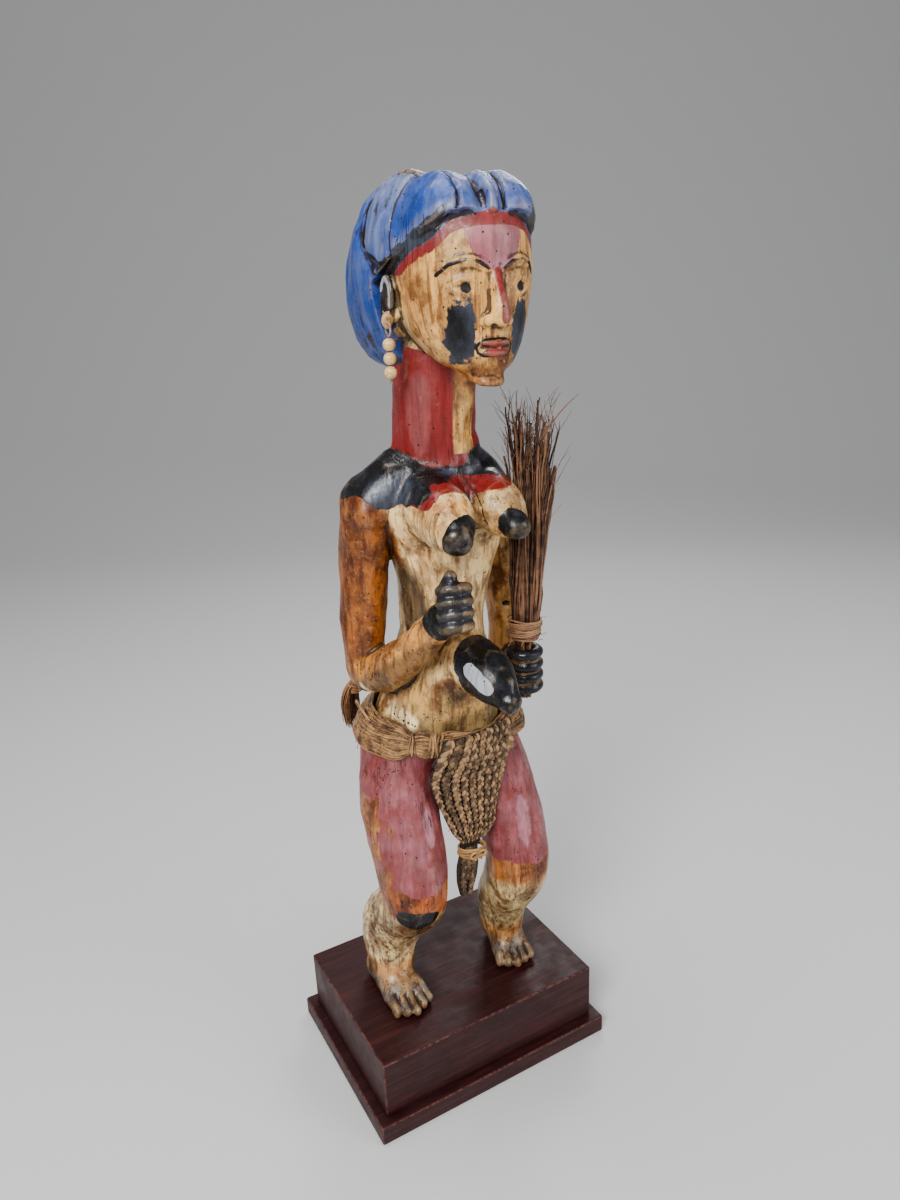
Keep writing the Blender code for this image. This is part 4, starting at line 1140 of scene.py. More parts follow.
def ground_tint(points, head, hair):
    """The bare wood's broad tints: cream, ochre, orange glaze, brown and smoky green; also painted
    highlight on the right forearm's top, and painted shade under that forearm and beside the torso
    under the right arm.
    """
    x, y, z = points.T
    tint = np.tile(paint(208, 178, 130), (len(points), 1))

    def lay(colour, share):
        share = np.clip(share, 0, 1)[:, None]
        tint[:] = tint * (1 - share) + np.array(paint(*colour)) * share

    drift = wobble(points, 1 / 17.0, 21.0)
    lay((190, 148, 96), smooth(drift, 0.0, 0.5) * 0.8)
    upper = 34 - near_run(points, [(-52, -2, 392), (-51, 4, 336), (-51, 8, 278)])
    outer = smooth(-x, 31, 35) * smooth(z, 262, 270)
    lay((140, 84, 42), smooth(upper, 0, 4) * outer)
    lay((112, 52, 28), smooth(upper, 0, 4) * outer * smooth(y, 0, 18) * 0.8)
    inner = smooth(x, -36, -31) * smooth(-x, 26, 30) * smooth(-z, -388, -360) * smooth(z, 300, 320)
    lay((222, 190, 140), inner * 0.9)
    fore = 19 - near_run(points, [(-50, 4, 276), (-46, -18, 284), (-40, -44, 303), (-32, -72, 331)])
    lay((176, 122, 66), smooth(fore, 0, 3) * smooth(-x, 22, 28) * smooth(-z, -350, -335) * 0.85)
    # Painted highlight: the top of the right forearm is lightened.
    highlight_top = smooth(z - np.interp(y, (-72, 4), (333, 284)), 2, 9)
    lay((216, 176, 122), smooth(fore, 0, 3) * highlight_top * smooth(-x, 22, 28) * 0.8)
    # Painted shade: the underside of the right forearm is darkened.
    shaded = smooth(np.interp(y, (-72, 4), (322, 272)) - z, 0, 6)
    lay((92, 66, 38), smooth(fore, 0, 3) * shaded * 0.75)
    lay((120, 62, 40), within(points, (-35, -64, 322), (9, 8, 10), 0, 5) * 0.8)
    left = 22 - near_run(points, [(54, -8, 372), (65, -3, 300), (65, -3, 266), (57, -30, 268)])
    lay((196, 152, 98), smooth(left, 0, 4) * smooth(x, 36, 42) * 0.8)
    face = smooth(-head[:, 1], 6, 22) * smooth(z, 480, 490)
    lay((200, 150, 88), face * 0.8)
    lay((184, 138, 76), smooth(z, 426, 434) * smooth(-head[:, 2], -500, -490) * 0.8)
    lay((150, 96, 50), face * smooth(np.abs(head[:, 0]), 30, 38) * 0.5)
    lay((148, 92, 46), smooth(-head[:, 2], -494, -484) * smooth(z, 470, 478) * 0.8)
    belly = within(points, (-2, -40, 262), (44, 34, 26), 0, 10) * smooth(-y, 20, 36)
    lay((176, 138, 84), belly * 0.9)
    lay((92, 78, 50), within(points, (-14, -56, 268), (12, 12, 12), -2, 6) * 0.7)
    lay((92, 74, 46), smooth(-z, -258, -244) * smooth(z, 232, 240) * smooth(-y, 26, 40) * 0.75)
    band = smooth(
        2.5 - near_run(points, [(-58, -6, 270), (-45, -22, 253), (-38, -36, 247)]), -3.5, 0
    )
    lay((232, 212, 168), band * 0.9)
    lay((226, 204, 162), within(points, (-16, -48, 384), (19, 18, 14), 0, 8) * 0.75)
    lay((212, 146, 76), within(points, (-22, -74, 404), (15, 12, 9), 0, 4) * 0.8)
    # Painted shade: the torso's side in the gap under the right arm is darkened.
    shade = within(points, (-24, -22, 338), (14, 18, 44), 0, 9)
    lay((58, 46, 34), shade * 0.85)
    side = np.where(x < 0, 1.0, 0.0)
    knees = smooth(z, 88, 98) * smooth(-z, -140, -122) * smooth(-y, 22, 38)
    lay((156, 76, 32), knees * side * 0.95)
    lay((156, 92, 42), knees * (1 - side) * 0.9)
    outer_leg = smooth(np.abs(x), 48, 56) * smooth(z, 90, 110) * smooth(-z, -236, -215)
    lay((142, 80, 42), outer_leg * 0.85)
    shins = smooth(-z, -96, -84) * smooth(z, 20, 34)
    lay((206, 184, 142), shins * 0.8 * side)
    lay((172, 154, 116), shins * 0.8 * (1 - side))
    lay((98, 70, 46), shins * smooth(-y, 14, 30) * side * 0.6)
    lean = [points @ turned_by(angle) * (1.6, 1.6, 0.35) for angle in (38.0, -32.0)]
    scratches = smooth(wobble(lean[0], 1 / 3.0, 44.0), 0.18, 0.42)
    scratches = np.maximum(scratches, smooth(wobble(lean[1], 1 / 3.4, 47.0), 0.22, 0.45))
    lay((88, 62, 40), shins * scratches * (0.45 + 0.4 * side))
    lay((92, 58, 34), within(points, (-48, -44, 82), (20, 18, 12), 0, 6) * 0.8)
    feet = smooth(-z, -30, -16)
    lay((126, 100, 74), feet * 0.95)
    lay((92, 86, 82), feet * smooth(wobble(points, 1 / 9.0, 40.0), -0.1, 0.4) * 0.8)
    lay((170, 118, 72), smooth(-z, -38, -28) * smooth(z, 16, 24) * 0.7)
    fists = in_fists(points)
    lay((84, 62, 44), smooth(fists, -1, 2) * 0.92)
    lay((96, 84, 78), smooth(hair, -0.5, 1.0))
    streaks = smooth(wobble(points * (1, 1, 0.3), 1 / 6.0, 50.0), 0, 0.5)
    lay((132, 120, 104), smooth(hair, -0.5, 1.0) * streaks)
    back = smooth(y, 4, 18) * smooth(z, 232, 240) * smooth(-z, -408, -400)
    lay((150, 108, 66), back * 0.7)
    return tint


def fading(points, head, hair):
    """How far each coat has worn to its paler tint."""
    z = points[:, 2]
    hx, hy, hz = head.T
    drift = wobble(points * (1, 1, 0.5), 1 / 15.0, 12.0)
    fade = 0.16 + 0.22 * drift
    bright = smooth(-hy, 8, 18) * smooth(-np.abs(hx + 28), -16, -8)
    mid = smooth(hy, -10, -2) * smooth(-hy, -30, -18) * smooth(hz, 545, 556)
    worn = 0.5 * smooth(hz, 575, 590) + 0.5 * mid + 0.2
    hair_fade = np.clip(worn + 0.32 * wobble(points * (1, 1, 0.35), 1 / 8.0, 33.0), 0, 1)
    hair_fade = hair_fade * (1 - 0.8 * bright * (1 - smooth(-hairline_depth(head), -12, -6)))
    hair_fade = np.maximum(
        hair_fade, 0.8 * smooth(-hairline_depth(head), -9, -5) * smooth(-hy, 6, 14) * 0.8
    )
    fade = np.where(hair > -1.0, hair_fade, fade)
    shoulder = within(points, (-37, -32, 409), (25, 21, 13), -1, 7)
    chest = within(points, (2, -46, 424), (20, 9, 7), -1, 4)
    top = (z > 396) & (z < 424.5)
    fade = np.where(top, 0.06 + 0.85 * shoulder + 0.6 * chest + 0.12 * drift, fade)
    cheeks = smooth(z, 488, 494) * smooth(-hy, 18, 24) * smooth(-hz, -530, -527)
    fade = fade * (1 - cheeks) + cheeks * np.clip(0.62 + 0.8 * drift, 0, 1)
    scraped = np.maximum.reduce([
        within(points, (-35, -46, 166), (5, 9, 17), 0, 1.2),
        within(points, (44, -52, 152), (6, 8, 27), 0, 1.2),
        smooth(lump(points, *NECK_FACET), -1, 1.0),
    ])
    forehead = smooth(hz, 540, 545) * smooth(-hy, 36, 44)
    fade = np.maximum(fade, 0.95 * scraped)
    fade = np.where((hair <= -1.0) & (forehead > 0.5), 0.62, fade)
    thighs = (z > 100) & (z < 232)
    lilac = 0.10 + 0.45 * within(points, (-50, -40, 170), (20, 26, 46), 0, 10)
    fade = np.where(thighs, np.maximum(0.6 * fade + 0.4 * lilac, 0.95 * scraped), fade)
    dark_parts = [
        ((2.5, -86, 284), (24, 24, 26)),
        ((-24, -92, 389), (20, 20, 20)),
        ((27, -82, 386), (18, 18, 18)),
        ((-50, -48, 95), (20, 16, 13)),
    ]
    dark = np.maximum.reduce([lump(points, *part) for part in dark_parts])
    return np.where(dark > 0, 0.03, fade)


def blended(obj):
    """Softens the creases where two forms meet, as a carver's rasp does."""
    mesh = obj.data
    co = points_of(mesh)
    points = in_units(co)
    share = np.zeros(len(points))
    soft = [
        ((1, -54, 290), (32, 17, 32)), ((-20, -48, 398), (34, 20, 33)),
        ((24, -46, 396), (31, 19, 31)),
        ((-48, 0, 400), (30, 34, 22)), ((48, -8, 396), (26, 30, 22)), ((-50, 4, 280), (26, 28, 18)),
        ((-40, -26, 214), (34, 34, 18)), ((38, -26, 212), (34, 34, 18)),
        ((-49, -2, 22), (30, 30, 12)),
        ((50, -10, 22), (30, 30, 12)), ((-42, -20, 92), (34, 40, 26)),
        ((48, -28, 84), (32, 38, 24)),
    ]
    for centre, radii in soft:
        share = np.maximum(share, smooth(lump(points, centre, radii), 0, 6))
    a, b = edges_of(mesh)
    keep = (share[a] > 0) | (share[b] > 0)
    a, b = a[keep], b[keep]
    degree = np.bincount(np.concatenate([a, b]), minlength=len(co)).astype(float)
    share = (0.55 * share * (degree > 2))[:, None]
    ends, others = np.concatenate([a, b]), np.concatenate([b, a])
    for _ in range(34):
        total = np.stack([np.bincount(ends, co[others, k], len(co)) for k in range(3)], 1)
        co = co * (1 - share) + share * total / np.maximum(degree, 1)[:, None]
    put_back(mesh, co)


def hollows(mesh, points, normals):
    """Hollow above 0 and proud below it, from how the surface lies against its smoothed self."""
    a, b = edges_of(mesh)
    degree = np.bincount(np.concatenate([a, b]), minlength=len(points)).astype(float)[:, None]
    near = points.copy()
    for _ in range(9):
        total = np.zeros_like(near)
        for axis in range(3):
            total[:, axis] = np.bincount(a, near[b, axis], len(points))
            total[:, axis] += np.bincount(b, near[a, axis], len(points))
        near = 0.4 * near + 0.6 * total / np.maximum(degree, 1)
    return np.sum((near - points) * normals, axis=1)


def keep_value(mesh, name, values):
    mesh.attributes.new(name, "FLOAT", "POINT").data.foreach_set("value", values.astype(np.float32))


def coloured(obj):
    """Writes every coat's field on the carving's points."""
    mesh = obj.data
    points = in_units(points_of(mesh))
    head = to_head(points)
    fields, hair = paint_fields(points, head)
    hollow = hollows(mesh, points, normals_of(mesh))
    fists = in_fists(points)
    fist_left = lump(points, FIST, FIST_SIZE) > 0
    groove = smooth(hollow, 0.02, 0.22)
    fields["black"] = np.where(fist_left, fields["black"] - 22 * groove, fields["black"])
    ridge = smooth(-hollow, 0.12, 0.4) * smooth(points[:, 0], -34, -26)
    fields["black"] = np.where(
        (fists > 0) & ~fist_left, fields["black"] - 16 * ridge, fields["black"]
    )
    soot = np.where(fist_left, -0.1, hollow)
    for name, values in fields.items():
        keep_value(mesh, name, np.clip(values, -12, 12))
    keep_value(mesh, "lines", line_field(points, head))
    keep_value(mesh, "fade", np.clip(fading(points, head, hair), 0, 1))
    keep_value(mesh, "hollow", np.clip(soot * 1.6 + grime(points, head, hair), -1, 1))
    tint = np.concatenate([ground_tint(points, head, hair), np.ones((len(points), 1))], 1)
    layer = mesh.color_attributes.new("ground", "FLOAT_COLOR", "POINT")
    layer.data.foreach_set("color", tint.astype(np.float32).ravel())


def grime(points, head, hair):
    """Dirt beyond the hollows: on the hair, the belly's foot, the hips, the shins and the toes."""
    y, z = points.T[1:]
    hy, hz = head.T[1:]
    drift = wobble(points * (1, 1, 0.45), 1 / 7.0, 105.0)
    low_hair = smooth(-hz, -540, -505) * smooth(hy, 0, 30) * (hair > -1)
    crown = smooth(hz, 566, 582) * smooth(hy, -30, 0) * (hair > -1)
    hips = (
        within(points, (-58, -20, 214), (16, 24, 26), 0, 8)
        + within(points, (58, -20, 206), (14, 22, 24), 0, 8)
    )
    shin = smooth(z, 26, 40) * smooth(-z, -100, -84)
    toes = smooth(-z, -14, -5) * smooth(-y, 16, 34)
    belly = within(points, (-14, -50, 250), (30, 20, 12), 0, 6)
    found = (
        0.30 * low_hair + 0.36 * crown * smooth(drift, -0.1, 0.4)
        + 0.34 * hips * smooth(drift, -0.1, 0.4)
    )
    found += (
        0.36 * shin * smooth(drift, -0.05, 0.4) + 0.24 * toes
        + 0.32 * belly * smooth(drift, -0.2, 0.4)
    )
    return found


def applied(obj):
    """Turns the object's modifiers into plain mesh."""
    bpy.context.view_layer.update()
    graph = bpy.context.evaluated_depsgraph_get()
    mesh = bpy.data.meshes.new_from_object(obj.evaluated_get(graph))
    obj.modifiers.clear()
    old = obj.data
    obj.data = mesh
    bpy.data.meshes.remove(old)
    return obj


def mesh_object(name, bm):
    mesh = bpy.data.meshes.new(name)
    bm.to_mesh(mesh)
    bm.free()
    obj = bpy.data.objects.new(name, mesh)
    bpy.context.scene.collection.objects.link(obj)
    return obj


def groups():
    """The shader groups, built once."""
    made = bpy.data.node_groups
    if "paint_coat" not in made:
        paint_coat()
        worm_holes()
        grain_streaks()
    return {"coat": made["paint_coat"], "holes": made["worm_holes"], "grain": made["grain_streaks"]}


def worn_by(obj, material, slot, *nodes):
    """Gives a piece its finish and its place on the body."""
    obj.data.materials.clear()
    obj.data.materials.append(material)
    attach(obj, "root")
    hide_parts(*nodes)


class FIGURE_OT_carve(Operator):
    """Carve and paint the figure from one block"""

    bl_idname = "figure.carve"
    bl_label = "Carve figure"

    def execute(self, context):
        figure = settings("figure_settings")
        bm = bmesh.new()
        carve_figure(bm)
        bmesh.ops.triangulate(bm, faces=bm.faces)
        bmesh.ops.recalc_face_normals(bm, faces=bm.faces)
        obj = mesh_object("carving", bm)
        fuse = obj.modifiers.new("Fuse", "REMESH")
        fuse.mode = "VOXEL"
        fuse.voxel_size = figure.grain
        rub = obj.modifiers.new("Rub", "SMOOTH")
        rub.factor = 0.5
        rub.iterations = 4
        applied(obj)
        blended(obj)
        sculpted(obj, figure)
        thin = obj.modifiers.new("Thin", "DECIMATE")
        thin.ratio = min(
            1.0, figure.triangles / sum(len(p.vertices) - 2 for p in obj.data.polygons)
        )
        applied(obj)
        bored(obj)
        coloured(obj)
        obj.data.shade_smooth()
        worn_by(obj, painted_wood(figure, groups()), "carved_wood", "figure")
        return {"FINISHED"}


def bored(obj):
    """Bores the grip through the left fist."""
    bm = bmesh.new()
    matrix = Matrix.Translation(in_metres(FIST))
    bmesh.ops.create_cone(
        bm, cap_ends=True, segments=40, radius1=0.0072, radius2=0.0072, depth=0.06, matrix=matrix
    )
    grip = mesh_object("grip_hole", bm)
    cut = obj.modifiers.new("Grip", "BOOLEAN")
    cut.operation = "DIFFERENCE"
    cut.solver = "EXACT"
    cut.object = grip
    applied(obj)
    bpy.data.objects.remove(grip)


# Fibre: runs of points that Geometry Nodes turn into strands


def strand_nodes(material, sides):
    """A tree that turns polylines into strands, with wobble, then sets their material."""
    tree = bpy.data.node_groups.new("strands", "GeometryNodeTree")
    face = tree.interface
    face.new_socket("Geometry", in_out="INPUT", socket_type="NodeSocketGeometry")
    for name, default in (("Wobble", 0.0004), ("Wobble scale", 60.0), ("Seed", 0.0)):
        face.new_socket(name, in_out="INPUT", socket_type="NodeSocketFloat").default_value = default
    face.new_socket("Geometry", in_out="OUTPUT", socket_type="NodeSocketGeometry")
    source = tree.nodes.new("NodeGroupInput").outputs
    curve = put(tree, "GeometryNodeMeshToCurve", {"Mesh": source["Geometry"]})
    place = put(tree, "GeometryNodeInputPosition").outputs[0]
    tone, thick, loose = (
        put(tree, "GeometryNodeInputNamedAttribute", {"Name": name}, data_type="FLOAT").outputs[0]
        for name in ("tone", "thick", "loose")
    )
    fourth = maths(tree, "ADD", maths(tree, "MULTIPLY", tone, 37.0), source["Seed"])
    field = put(
        tree,
        "ShaderNodeTexNoise",
        {"Vector": place, "W": fourth, "Scale": source["Wobble scale"], "Detail": 2.0},
        noise_dimensions="4D",
    )
    half = put(
        tree, "ShaderNodeVectorMath", {0: field.outputs["Color"], 1: (0.5, 0.5, 0.5)},
        operation="SUBTRACT"
    )
    reach = maths(tree, "MULTIPLY", source["Wobble"], loose)
    offset = put(
        tree, "ShaderNodeVectorMath", {0: half.outputs[0], "Scale": reach}, operation="SCALE"
    )
    moved = put(
        tree, "GeometryNodeSetPosition", {"Geometry": curve.outputs[0], "Offset": offset.outputs[0]}
    )
    profile = put(tree, "GeometryNodeCurvePrimitiveCircle", {"Resolution": sides, "Radius": 1.0})
    sockets = {
        "Curve": moved.outputs[0], "Profile Curve": profile.outputs[0], "Scale": thick,
        "Fill Caps": True
    }
    tube = put(tree, "GeometryNodeCurveToMesh", sockets)
    whole = put(tree, "GeometryNodeRealizeInstances", {"Geometry": tube.outputs[0]})
    last = put(
        tree, "GeometryNodeSetMaterial", {"Geometry": whole.outputs[0], "Material": material}
    )
    sink = tree.nodes.new("NodeGroupOutput")
    tree.links.new(last.outputs[0], sink.inputs[0])
    return tree


def strands(name, runs, material, sides=5, wobble=0.0, scale=60.0, seed=0.0):
    """One mesh of many strands. A run is (points in metres, radii, tone, loose, deep); deep is the
    share of painted shade that the strand gets.
    """
    points, edges, tones, radii, looses, inner_shades = [], [], [], [], [], []
    for run, radius, tone, loose, deep in runs:
        start = len(points)
        count = len(run)
        points += [tuple(p) for p in run]
        edges += [(start + i, start + i + 1) for i in range(count - 1)]
        tones += [tone] * count
        radii += list(np.broadcast_to(radius, count))
        looses += list(np.broadcast_to(loose, count))
        inner_shades += list(np.broadcast_to(deep, count))
    mesh = bpy.data.meshes.new(name)
    mesh.from_pydata(points, edges, [])
    for key, values in (("tone", tones), ("thick", radii), ("loose", looses), ("deep", inner_shades)):
        keep_value(mesh, key, np.array(values))
    obj = bpy.data.objects.new(name, mesh)
    bpy.context.scene.collection.objects.link(obj)
    tree = strand_nodes(material, sides)
    modifier = obj.modifiers.new("Strands", "NODES")
    modifier.node_group = tree
    values = {"Wobble": wobble, "Wobble scale": scale, "Seed": seed}
    for item in tree.interface.items_tree:
        if item.item_type == "SOCKET" and item.in_out == "INPUT" and item.name in values:
            modifier[item.identifier] = values[item.name]
    applied(obj)
    obj.data.shade_smooth()
    return obj


def carving_tree():
    carving = bpy.data.objects["carving"]
    return BVHTree.FromObject(carving, bpy.context.evaluated_depsgraph_get())


def hip_radius(tree, angle, height):
    axis = in_metres((*HIP_AXIS, height))
    out = Vector((math.cos(angle), math.sin(angle), 0))
    hit = tree.ray_cast(axis + out * 0.12, -out)[0]
    return (hit - axis).length


def pinch(angle, at, width):
    off = (angle - at + math.pi) % math.tau - math.pi
    return math.exp(-((off / math.radians(width)) ** 2))


def belt_section(tree, angle):
    """The belt at one angle: middle, half height, the body's reach and its thickness."""
    middle = 232.0 + 5.0 * math.cos(angle - math.radians(150.0))
    tied = max(pinch(angle, TIE_ANGLE, 8.0), 1.15 * pinch(angle, LACE_ANGLE, 6.5))
    off = (angle - TIE_ANGLE + math.pi) % math.tau - math.pi
    behind = math.exp(-(((off - math.radians(45.0)) / math.radians(34.0)) ** 4))
    half = 13.0 - 5.0 * tied - 5.0 * behind
    thick = 0.0080 * (1 - 0.30 * tied - 0.55 * behind)
    turns = [math.radians(turn) for turn in (-5.0, 0.0, 5.0)]
    reach = []
    for rise in BELT_RISES:
        level = middle + half * rise
        found = [hip_radius(tree, angle + turn, level + up) for turn in turns for up in (-2.5, 2.5)]
        reach.append(max(found) + 0.0009)
    reach[1] = max(reach[1], (reach[0] + reach[2]) / 2)
    return middle, half, reach, thick


def belt_sections(tree, count):
    return [belt_section(tree, math.tau * i / count) for i in range(count)]


def belt_point(section, angle, depth, rise):
    middle, half, reach, thick = section
    inner = np.interp(rise, BELT_RISES, reach)
    out = Vector((math.cos(angle), math.sin(angle), 0))
    return in_metres((*HIP_AXIS, middle + half * rise)) + out * (inner + thick * depth)


def heading(offset):
    return math.atan2(offset.y, offset.x) % math.tau


def pushed_out(point, tree, gap):
    near, normal, _, distance = tree.find_nearest(point)
    inside = (point - near).dot(normal) < 0
    return near + normal * gap if inside or distance < gap else point


def section_at(sections, angle):
    return sections[round(angle / math.tau * len(sections)) % len(sections)]


def belt_reach(sections, angle, height):
    """How far the belt reaches from the hips' axis, or 0 above and below it."""
    found = 0.0
    for turn in (-5, 0, 5):
        middle, half, reach, thick = section_at(sections, angle + math.radians(turn))
        if abs(height - middle) < half + 3.0:
            found = max(found, max(reach) + thick)
    return found


class FIBRE_OT_belt(Operator):
    """Lay the hank of raffia round the hips, with the ties that draw it in"""

    bl_idname = "fibre.belt"
    bl_label = "Lay belt"

    def execute(self, context):
        chosen = settings("fibre_settings")
        tree = carving_tree()
        angles = [math.tau * i / BELT_STEPS for i in range(BELT_STEPS)]
        sections = belt_sections(tree, BELT_STEPS)
        rng = np.random.default_rng(7)
        runs = []
        for _ in range(chosen.belt_strands):
            rise, depth = rng.uniform(-0.94, 0.94), 1.0 - rng.uniform(0, 1) ** 2 * 0.75
            depth *= math.sqrt(max(0.05, 1 - abs(rise) ** 3))
            drift, phase = rng.uniform(0.1, 0.34), rng.uniform(0, math.tau)
            run = []
            for angle, section in zip(angles, sections):
                up = (
                    rise + drift * math.sin(2 * angle + phase)
                    + 0.10 * math.sin(5 * angle + phase * 3)
                )
                up = max(-0.98, min(0.98, up))
                deep = min(depth, math.sqrt(max(0.05, 1 - abs(up) ** 3)))
                run.append(belt_point(section, angle, max(0.08, deep - 0.04), up))
            run.append(run[0])
            radius = rng.uniform(0.00036, 0.00062)
            # Strands that lie deeper in the hank get painted shade through their last value.
            runs.append((run, radius, rng.uniform(0.1, 0.95), 1.0, max(0.0, 0.55 - depth)))
        for k in range(26):
            span = (LACE_ANGLE - 0.75, LACE_ANGLE - 0.08) if k % 2 else (0, 6.28)
            at = rng.uniform(*span)
            section = section_at(sections, at)
            start = belt_point(section, at, 1.0, rng.uniform(-0.7, 0.5))
            out = Vector((math.cos(at), math.sin(at), 0))
            side = Vector((-out.y, out.x, 0)) * rng.uniform(-1, 1)
            run = []
            for t in np.linspace(0, 1.3, 5):
                sag = Vector((0, 0, 0.0026 * t * t))
                run.append(start + (side * 0.004 * t + out * 0.0011 * t - sag))
            runs.append((run, 0.00028, rng.uniform(0.3, 1.0), 1.0, 0.0))
        runs += lace_runs(sections, LACE_ANGLE, 3, 0.00062) + loop_runs(tree)
        light = fibre("raffia", chosen.umber, chosen.straw, 0.15)
        knot = lace_runs(sections, TIE_ANGLE, 7, 0.00095)
        belt = strands("belt", runs, light, sides=4, wobble=0.0011, scale=40.0, seed=3.0)
        worn_by(belt, light, "plant_fibre", "fibre_belt")
        tie = strands("belt_knot", knot, light, sides=6, wobble=0.0006, scale=120.0)
        worn_by(tie, light, "fibre_cord", "belt_tie")
        return {"FINISHED"}


def lace_runs(sections, at, turns, radius):
    """Turns of cord wound round the belt at one angle."""
    middle, half, reach, thick = section_at(sections, at % math.tau)
    runs = []
    for k in range(turns):
        aside = (k - (turns - 1) / 2) * math.radians(1.5)
        run = []
        for turn in np.linspace(0, math.tau, 29):
            rise = 1.10 * math.sin(turn)
            across = abs(math.cos(turn)) ** 0.5 * math.copysign(1, math.cos(turn))
            inner = np.interp(rise, BELT_RISES, reach)
            angle = at + aside + math.radians(1.6) * math.sin(turn + k)
            out = Vector((math.cos(angle), math.sin(angle), 0))
            depth = inner + thick / 2 + (thick / 2 + LACE_CLEARANCE) * across
            run.append(in_metres((*HIP_AXIS, middle + half * rise)) + out * depth)
        runs.append((run, radius, 0.55 + 0.4 * math.sin(k * 2.1), 0.6, 0.0))
    return runs


def loop_runs(tree):
    """The thin cord that hangs in a loop from the tuft over the hip."""
    path = [
        (-52, 24, 238), (-57, 18, 247), (-60, 8, 252), (-61, -3, 249), (-58, -11, 242),
        (-56, -15, 236)
    ]
    run = []
    for p in smooth_run(path, 6):
        run.append(pushed_out(in_metres(p), tree, 0.0016))
    axis = in_metres((*HIP_AXIS, 0))
    moved = []
    for p in run:
        offset = Vector((p.x - axis.x, p.y - axis.y, 0))
        needed = hip_radius(tree, math.atan2(offset.y, offset.x), height_of(p)) + 0.0080
        moved.append(p + offset.normalized() * max(0.0, needed - offset.length))
    return [
        (moved, 0.0007, 0.9, 0.2, 0.0),
        ([p + Vector((0, 0, 0.0011)) for p in moved], 0.0006, 0.7, 0.2, 0.0)
    ]


class FIBRE_OT_tuft(Operator):
    """Hang the short brush of raffia behind the right hip"""

    bl_idname = "fibre.tuft"
    bl_label = "Hang tuft"

    def execute(self, context):
        chosen = settings("fibre_settings")
        tree = carving_tree()
        rng = np.random.default_rng(11)
        sections = belt_sections(tree, BELT_SAMPLES)
        out = Vector((math.cos(TUFT_ANGLE), math.sin(TUFT_ANGLE), 0))
        side = Vector((-out.y, out.x, 0))
        axis = in_metres((*HIP_AXIS, 0))
        path = [
            (257, 0.0605, 0.0036, 0.0050), (250, 0.0636, 0.0060, 0.0100),
            (240, 0.0656, 0.0070, 0.0126), (230, 0.0652, 0.0068, 0.0126),
            (218.5, 0.0640, 0.0056, 0.0112)
        ]
        shape = smooth_run(path, 3)
        runs = []
        for _ in range(chosen.tuft_strands):
            turn, share = rng.uniform(0, math.tau), math.sqrt(rng.uniform(0.05, 1))
            end = rng.uniform(0.78, 1.0)
            count = max(4, int(len(shape) * end))
            twist = rng.uniform(-0.25, 0.25)
            run = []
            for i, (height, reach, depth, width) in enumerate(shape[:count]):
                angle = turn + twist * i / len(shape)
                offset = out * (reach + depth * math.cos(angle) * share)
                offset = offset + side * width * math.sin(angle) * share
                needed = belt_reach(sections, heading(offset), height) + 0.0006
                if offset.length < needed:
                    offset = offset * (needed / offset.length)
                run.append(pushed_out(axis + offset + Vector((0, 0, height * UNIT)), tree, 0.0008))
            radius, loose = np.linspace((0.00046, 0.2), (0.00024, 1.4), len(run)).T
            # Strands near the tuft's core get painted shade through their last value.
            runs.append((run, radius, rng.uniform(0.0, 0.8), loose, max(0.0, 0.5 - share)))
        binding = []
        for k in range(5):
            ring = []
            for turn in np.linspace(0, math.tau, 17):
                offset = out * (0.0612 + 0.0050 * math.cos(turn)) + side * 0.0066 * math.sin(turn)
                point = axis + offset + Vector((0, 0, (254.5 - k * 1.3) * UNIT))
                ring.append(pushed_out(point, tree, 0.0010))
            binding.append((ring, 0.00055, 0.8, 0.2, 0.0))
        brown = fibre("tuft_raffia", (0.085, 0.034, 0.014), (0.42, 0.21, 0.09), 0.15)
        tuft = strands("tuft", runs + binding, brown, sides=4, wobble=0.0026, scale=70.0, seed=9.0)
        worn_by(tuft, brown, "plant_fibre", "fibre_tuft")
        return {"FINISHED"}


APRON = [
    (238, 5, 26), (221, 2, 29), (211, -1, 33), (200, -1, 32), (180, 1, 28), (162, 4, 22),
    (150, 5, 18),
    (141, 3, 9), (135, 1.5, 6.5), (129, 0.5, 8), (118, 0, 9.5), (104, -0.5, 8.5), (91, -1, 5),
]


def apron_depth(x, height):
    """How far forward the apron's back hangs, in carver's units."""
    belly = -54 + 0.011 * (x - 2) ** 2
    hanging = -41 + 0.006 * x**2
    share = min(1.0, max(0.0, (230 - height) / 60.0))
    low = min(1.0, max(0.0, (145 - height) / 50.0))
    return belly * (1 - share) + hanging * share + 6.0 * low


def drape(tree, columns, rows):
    """The apron's back: rows of points, from the belt down."""
    shape = np.array(APRON, float)
    index = np.arange(len(APRON))
    sections = belt_sections(tree, BELT_SAMPLES)
    axis = in_metres((*HIP_AXIS, 0))
    made = []
    for step in np.linspace(0, len(APRON) - 1, rows):
        height, middle, half = (np.interp(step, index, shape[:, k]) for k in range(3))
        row = []
        for aside in np.linspace(-1, 1, columns):
            x = middle + aside * half
            point = pushed_out(in_metres((x, apron_depth(x, height), height)), tree, 0.0016)
            offset = Vector((point.x - axis.x, point.y - axis.y, 0))
            needed = belt_reach(sections, heading(offset), height) + 0.0010
            if offset.length < needed:
                point = point + offset.normalized() * (needed - offset.length)
            row.append(point)
        made.append(row)
    for _ in range(40):
        fresh = [made[0]]
        for above, row, below in zip(made, made[1:], made[2:]):
            stack = zip(above, row, below)
            fresh.append([Vector((p.x, min(p.y, (a.y + b.y) / 2), p.z)) for a, p, b in stack])
        made = fresh + [made[-1]]
    return made


